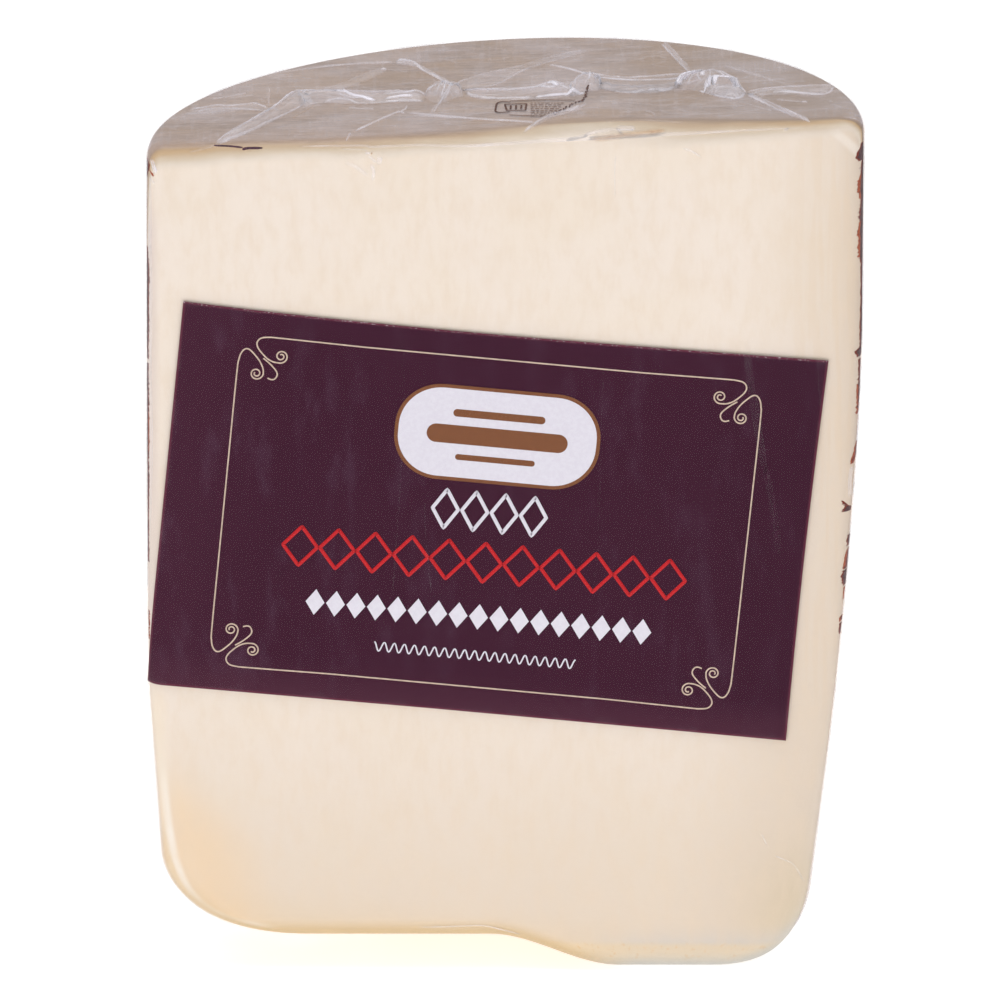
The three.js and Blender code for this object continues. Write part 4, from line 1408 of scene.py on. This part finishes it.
# The gold frame on the label, and one corner of it, across and down from where its lines would meet: two
# arms that end in spirals, and a small hook between them.
FRAME_LEFT, FRAME_TOP, FRAME_WIDTH, FRAME_HEIGHT = 19.3, 10.0, 170.8, 114.2
UPPER_SPIRAL, LOWER_SPIRAL = (13.8, 5.8), (6.3, 12.4)
UPPER_ARM = [
    (40, 0), (13.4, -0.4), (9.2, -0.35), (6.7, 0.2), (5.6, 1.8), (6.1, 3.6), (7.8, 5.6), (9.7, 7.2),
    (11.7, 8),
]
LOWER_ARM = [
    (0, 52), (0, 14), (0.3, 7.9), (1, 5.5), (2.1, 4.3), (3.5, 4.5), (5.4, 6.2), (7.1, 8.2), (8.3, 10.5),
]
HOOK = [
    (8.1, 7), (9.8, 8.2), (11.4, 9.6), (12.8, 11.2), (13.1, 12.5), (12.4, 13.8), (11.3, 14.1), (10.1, 13.7),
]


def corner_lines():
    """The three lines of one corner of the frame."""
    wind_up = spiral(UPPER_SPIRAL, math.pi / 2, 1.6, 2.35, 0.6, -1)
    wind_down = spiral(LOWER_SPIRAL, 0.0, 1.6, 2.3, 0.6, 1)
    first = np.vstack([through(np.vstack([UPPER_ARM, wind_up[:1]]), 90), wind_up[1:]])
    second = np.vstack([through(np.vstack([LOWER_ARM, wind_down[:1]]), 90), wind_down[1:]])
    return [first, second, through(HOOK, 40)]


def frame_lines():
    """Four corners, each the mirror of the next, and the straight lines between them."""
    lines = []
    for flip_across in (False, True):
        for flip_down in (False, True):
            for line in corner_lines():
                across = FRAME_WIDTH - line[:, 0] if flip_across else line[:, 0]
                down = FRAME_HEIGHT - line[:, 1] if flip_down else line[:, 1]
                lines.append(np.column_stack([across, down]))
    from_left, from_top = UPPER_ARM[0][0], LOWER_ARM[0][1]
    for down in (0.0, FRAME_HEIGHT):
        lines.append(np.array([(x, down) for x in (from_left, FRAME_WIDTH / 2, FRAME_WIDTH - from_left)]))
    for across in (0.0, FRAME_WIDTH):
        lines.append(np.array([(across, y) for y in (from_top, FRAME_HEIGHT / 2, FRAME_HEIGHT - from_top)]))
    return [((line + (FRAME_LEFT, FRAME_TOP)) * (1, -1), False) for line in lines]


prints.append(drawn("gold_frame", frame_lines(), 0.48, GOLD_INK, on_label))


def plate(name, loop, low, high, ink, mapping):
    """A flat closed plate with a convex outline, between two heights over its surface."""
    loop = np.asarray(loop, float)
    rings = np.array([np.column_stack([loop, np.full(len(loop), h)]) for h in (high, low)])
    flat = ring_points(rings)
    return new_mesh(name, mapping(*flat.T), ring_faces(2, len(loop)), ink, smooth_faces=False)


def rounded(centre, width, height, corner, steps=16):
    """A rectangle with round corners, counter-clockwise."""
    loop = []
    for n, (sx, sy) in enumerate(((1, 1), (-1, 1), (-1, -1), (1, -1))):
        for turn in np.linspace(0, math.pi / 2, steps):
            angle = turn + n * math.pi / 2
            x = centre[0] + sx * (width / 2 - corner) + corner * math.cos(angle)
            y = centre[1] + sy * (height / 2 - corner) + corner * math.sin(angle)
            loop.append((x, y))
    return loop


# The plaque's plates: name, down, width, height, corner, the heights between which they lie, and ink.
LABEL_MIDDLE = 105.6
PLAQUE = [
    ("plaque_rim", 36.6, 67, 33, 15, 0, 0.05, BROWN_INK),
    ("plaque", 36.6, 64.6, 30.6, 13.8, 0.02, 0.08, WHITE_INK),
    ("plaque_bar_1", 29.6, 30, 2.6, 1.25, 0.06, 0.11, BROWN_INK),
    ("plaque_bar_2", 37.1, 46, 6.4, 3.15, 0.06, 0.11, BROWN_INK),
    ("plaque_bar_3", 44.8, 26, 2.0, 0.95, 0.06, 0.11, BROWN_INK),
]
for name, down, width, height, corner, low, high, ink in PLAQUE:
    shape = rounded((LABEL_MIDDLE, -down), width, height, corner)
    prints.append(plate(name, shape, low, high, ink, on_label))


def lozenges(name, tree, count, pitch, length, width, down, ink, line_width=1.0):
    """A printed row of lozenges in the middle of the label."""
    source = bpy.data.meshes.new(name + "_start")
    sizes = {"Count": count, "Pitch": pitch, "Length": length, "Width": width, "Stroke": line_width}
    made = tree.make(name, source, ink, **sizes, Thickness=0.05)
    start = LABEL_MIDDLE - pitch * (count - 1) / 2
    return moved(made, lambda x, y, z: on_label(x + start, y - down, z + 0.025))


prints.append(lozenges("white_outlines", OUTLINED_LOZENGES, 4, 9.6, 8.4, 13.4, 63.1, WHITE_INK, 1.2))
prints.append(lozenges("red_lozenges", OUTLINED_LOZENGES, 11, 12.05, 11.3, 13.6, 80.6, RED_INK, 1.2))
prints.append(lozenges("white_lozenges", SOLID_LOZENGES, 17, 6.7, 6.2, 9.0, 99.6, WHITE_INK))
WAVE_HALF, WAVE_DOWN, WAVE_RISE, WAVE_LENGTH = 33, 113.1, 1.6, 3.3
sway = np.linspace(-WAVE_HALF, WAVE_HALF, 400)
wave = np.column_stack(
    [LABEL_MIDDLE + sway, -WAVE_DOWN + WAVE_RISE * np.cos(sway * 2 * math.pi / WAVE_LENGTH)]
)
prints.append(drawn("white_wave", [(wave, False)], 0.5, WHITE_INK, on_label))

# ---------------------------------------------------------------- marks on the top


def stamp_rows(count=8):
    """Short dashes in rows that slope a little, as what is left of a printed stamp."""
    chance = np.random.default_rng(12)
    dashes = []
    for row in range(count):
        start, end = np.array([8.1, 30.6 - 1.85 * row]), np.array([19.2 - 0.62 * row, 29.4 - 1.75 * row])
        length = np.linalg.norm(end - start)
        at = 0.0
        while at < length - 0.8:
            reach = chance.uniform(0.4, 1.5)
            ends = [start + (end - start) * share / length for share in (at, min(at + reach, length))]
            dashes.append((np.array([ends[0], (ends[0] + ends[1]) / 2, ends[1]]), False))
            at += reach + chance.uniform(0.3, 0.6)
    return dashes


# The stamp, as x and y on the top: its broken outline, the frame in it, what runs over and under its rows,
# and the line along which the film has dragged its end.
STAMP_EDGE = [
    (1.4, 32.4), (-1.2, 32.9), (-2.6, 31.8), (-3, 29.9), (-3.3, 24.5), (-2.9, 23), (-1.8, 22.3), (1.4, 22.5),
]
STAMP_FRAME = [(-0.2, 30.2), (6.8, 30.1), (6.4, 23.7), (0.4, 24.1)]
STAMP_TOP = [(1.4, 33.2), (7.9, 33.5), (14, 33.1), (22.5, 31.9)]
STAMP_FOOT = [(1.2, 19.5), (7.1, 18.2), (11.9, 17.1)]
STAMP_END = [(16, 19.8), (18, 22.7), (20.1, 26), (22.5, 29.4), (25, 31.9), (26.1, 37.8), (26.5, 42.7)]
bars = [(np.array([(x, 25.3), (x + 0.1, 27), (x + 0.1, 28.9)]), False) for x in (1.6, 3.3, 5.0)]
heavy = [(through(STAMP_EDGE, 40), False), (np.array(STAMP_FRAME), True)] + bars
prints.append(drawn("stamp_edge", heavy, 0.6, RAGGED_INK, on_stamp))
fine = stamp_rows() + [(through(STAMP_TOP, 20), False), (through(STAMP_FOOT, 12), False)]
prints.append(drawn("stamp_rows", fine, 0.55, STAMP_INK, on_stamp))


def stamp_blots():
    """Ragged blots at the end of the stamp, where the film has dragged the ink."""
    chance = np.random.default_rng(21)
    bodies = []
    for n, spot in enumerate(through(STAMP_END[:5], 10)):
        turn, reach = chance.uniform(0.6, 2.2), chance.uniform(0.7, 1.6)
        half = np.array([math.cos(turn) * reach / 2, math.sin(turn) * reach])
        path = [spot - half, spot + chance.normal(size=2) * 0.2, spot + half]
        width = chance.uniform(0.35, 0.65)
        bodies.append(stroke(on_top, path, width, 1.0, INK_HEIGHT, seed=n, ragged=0.2, step=0.3))
    return bodies


STAMP_DRAG = [
    [(24.6, 31.2), (25.5, 33.3)], [(25.2, 34.2), (26.4, 35.4)], [(25.8, 35.8), (26.1, 38.2)],
    [(25.9, 39.2), (26.9, 40.4)], [(26.3, 40.8), (27.1, 43)],
]
end_bodies = stamp_blots() + [
    stroke(over_top, path, 0.65, 1.0, INK_HEIGHT, seed=31 + n, ragged=0.15, step=0.4)
    for n, path in enumerate(STAMP_DRAG)
]
prints.append(joined("stamp_end", end_bodies, RAGGED_INK))


def on_paste(x, over, out):
    """A point over the front top edge of the cheese itself."""
    return on_edge(x, over, out - CHEESE_INSET)


DASH_PATHS = [(0.7, [(-94.2, 3.9), (-89, 3.4), (-84.9, 2.7)]), (0.9, [(-85, 2), (-83.3, 2.4), (-78.5, 2.3)])]
dash_bodies = [stroke(on_paste, path, width, 1.0, INK_HEIGHT, seed=9) for width, path in DASH_PATHS]
prints.append(joined("dark_dash", dash_bodies, MARK_INK))

# ---------------------------------------------------------------- what each piece belongs to

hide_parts("vacuum_pack")
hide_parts("vacuum_pack")
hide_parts("label")
for piece in [cheese, film, pleats, creases, oil, back_creases, label, *prints]:
    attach(piece, "root")
# Film this clear casts hardly any shadow on what it covers.
for piece in [film, pleats, creases, oil, back_creases]:
    piece.visible_shadow = False

# ---------------------------------------------------------------- floor, light and camera


def floor_finish():
    """A pale floor, lit a little from within so that it stays even."""
    f = Finish("pale_floor")
    soft = f.noise(f.millimetres(), 400, 2)
    shade = f.blend(f.step(soft, 0.3, 0.7), colour(252, 252, 252), colour(250, 250, 250))
    return f.surface(
        Base_Color=shade,
        Roughness=0.9,
        Specular_IOR_Level=0.1,
        Emission_Color=colour(255, 255, 255),
        Emission_Strength=0.62,
    )


FLOOR = 6000.0
floor_points = [(x * FLOOR, y * FLOOR, 0) for x, y in ((-1, -1), (1, -1), (1, 1), (-1, 1))]
floor = new_mesh("floor", floor_points, [(0, 1, 2, 3)], floor_finish(), smooth_faces=False)

world = bpy.data.worlds.new("studio")
bpy.context.scene.world = world
world.use_nodes = True
sky = world.node_tree.nodes["Background"].inputs
sky["Color"].default_value, sky["Strength"].default_value = (1.0, 1.0, 1.0, 1.0), 0.4


def softbox(name, spot, aim, width, height, power):
    """A soft area light at spot that faces aim, both in metres."""
    data = bpy.data.lights.new(name, "AREA")
    data.shape, data.size, data.size_y, data.energy = "RECTANGLE", width, height, power
    lamp = linked(name, data)
    lamp.location = spot
    way = np.array(aim) - np.array(spot)
    lamp.rotation_euler = (math.acos(-way[2] / np.linalg.norm(way)), 0.0, math.atan2(-way[0], way[1]))


softbox("front_box", (0.0, -3.0, 0.75), (0, 0, 0.15), 2.2, 1.4, 9)
softbox("top_box", (-0.2, -0.3, 1.9), (0, 0, 0.3), 1.1, 0.9, 14)
softbox("back_strip", (0.2, 1.3, 1.3), (0, 0, 0.3), 0.5, 0.2, 1.5)

# The camera looks down at this pitch at a point in the cheese, from this far away.
CAMERA_PITCH = math.radians(20.5)
CAMERA_AWAY = 5000.0
CAMERA_AIM = np.array([-1.808, 45.0, 149.872])
camera_data = bpy.data.cameras.new("camera")
camera_data.sensor_width = 36.0
camera_data.lens = 547.6
camera_data.clip_start, camera_data.clip_end = 0.1, 60.0
camera = linked("camera", camera_data)
toward = np.array([0.0, math.cos(CAMERA_PITCH), -math.sin(CAMERA_PITCH)])
camera.location = place(CAMERA_AIM - CAMERA_AWAY * toward)
camera.rotation_euler = (math.pi / 2 - CAMERA_PITCH, 0.0, 0.0)
bpy.context.scene.camera = camera

view_settings = bpy.context.scene.view_settings
view_settings.view_transform = "Standard"
view_settings.look = "None"
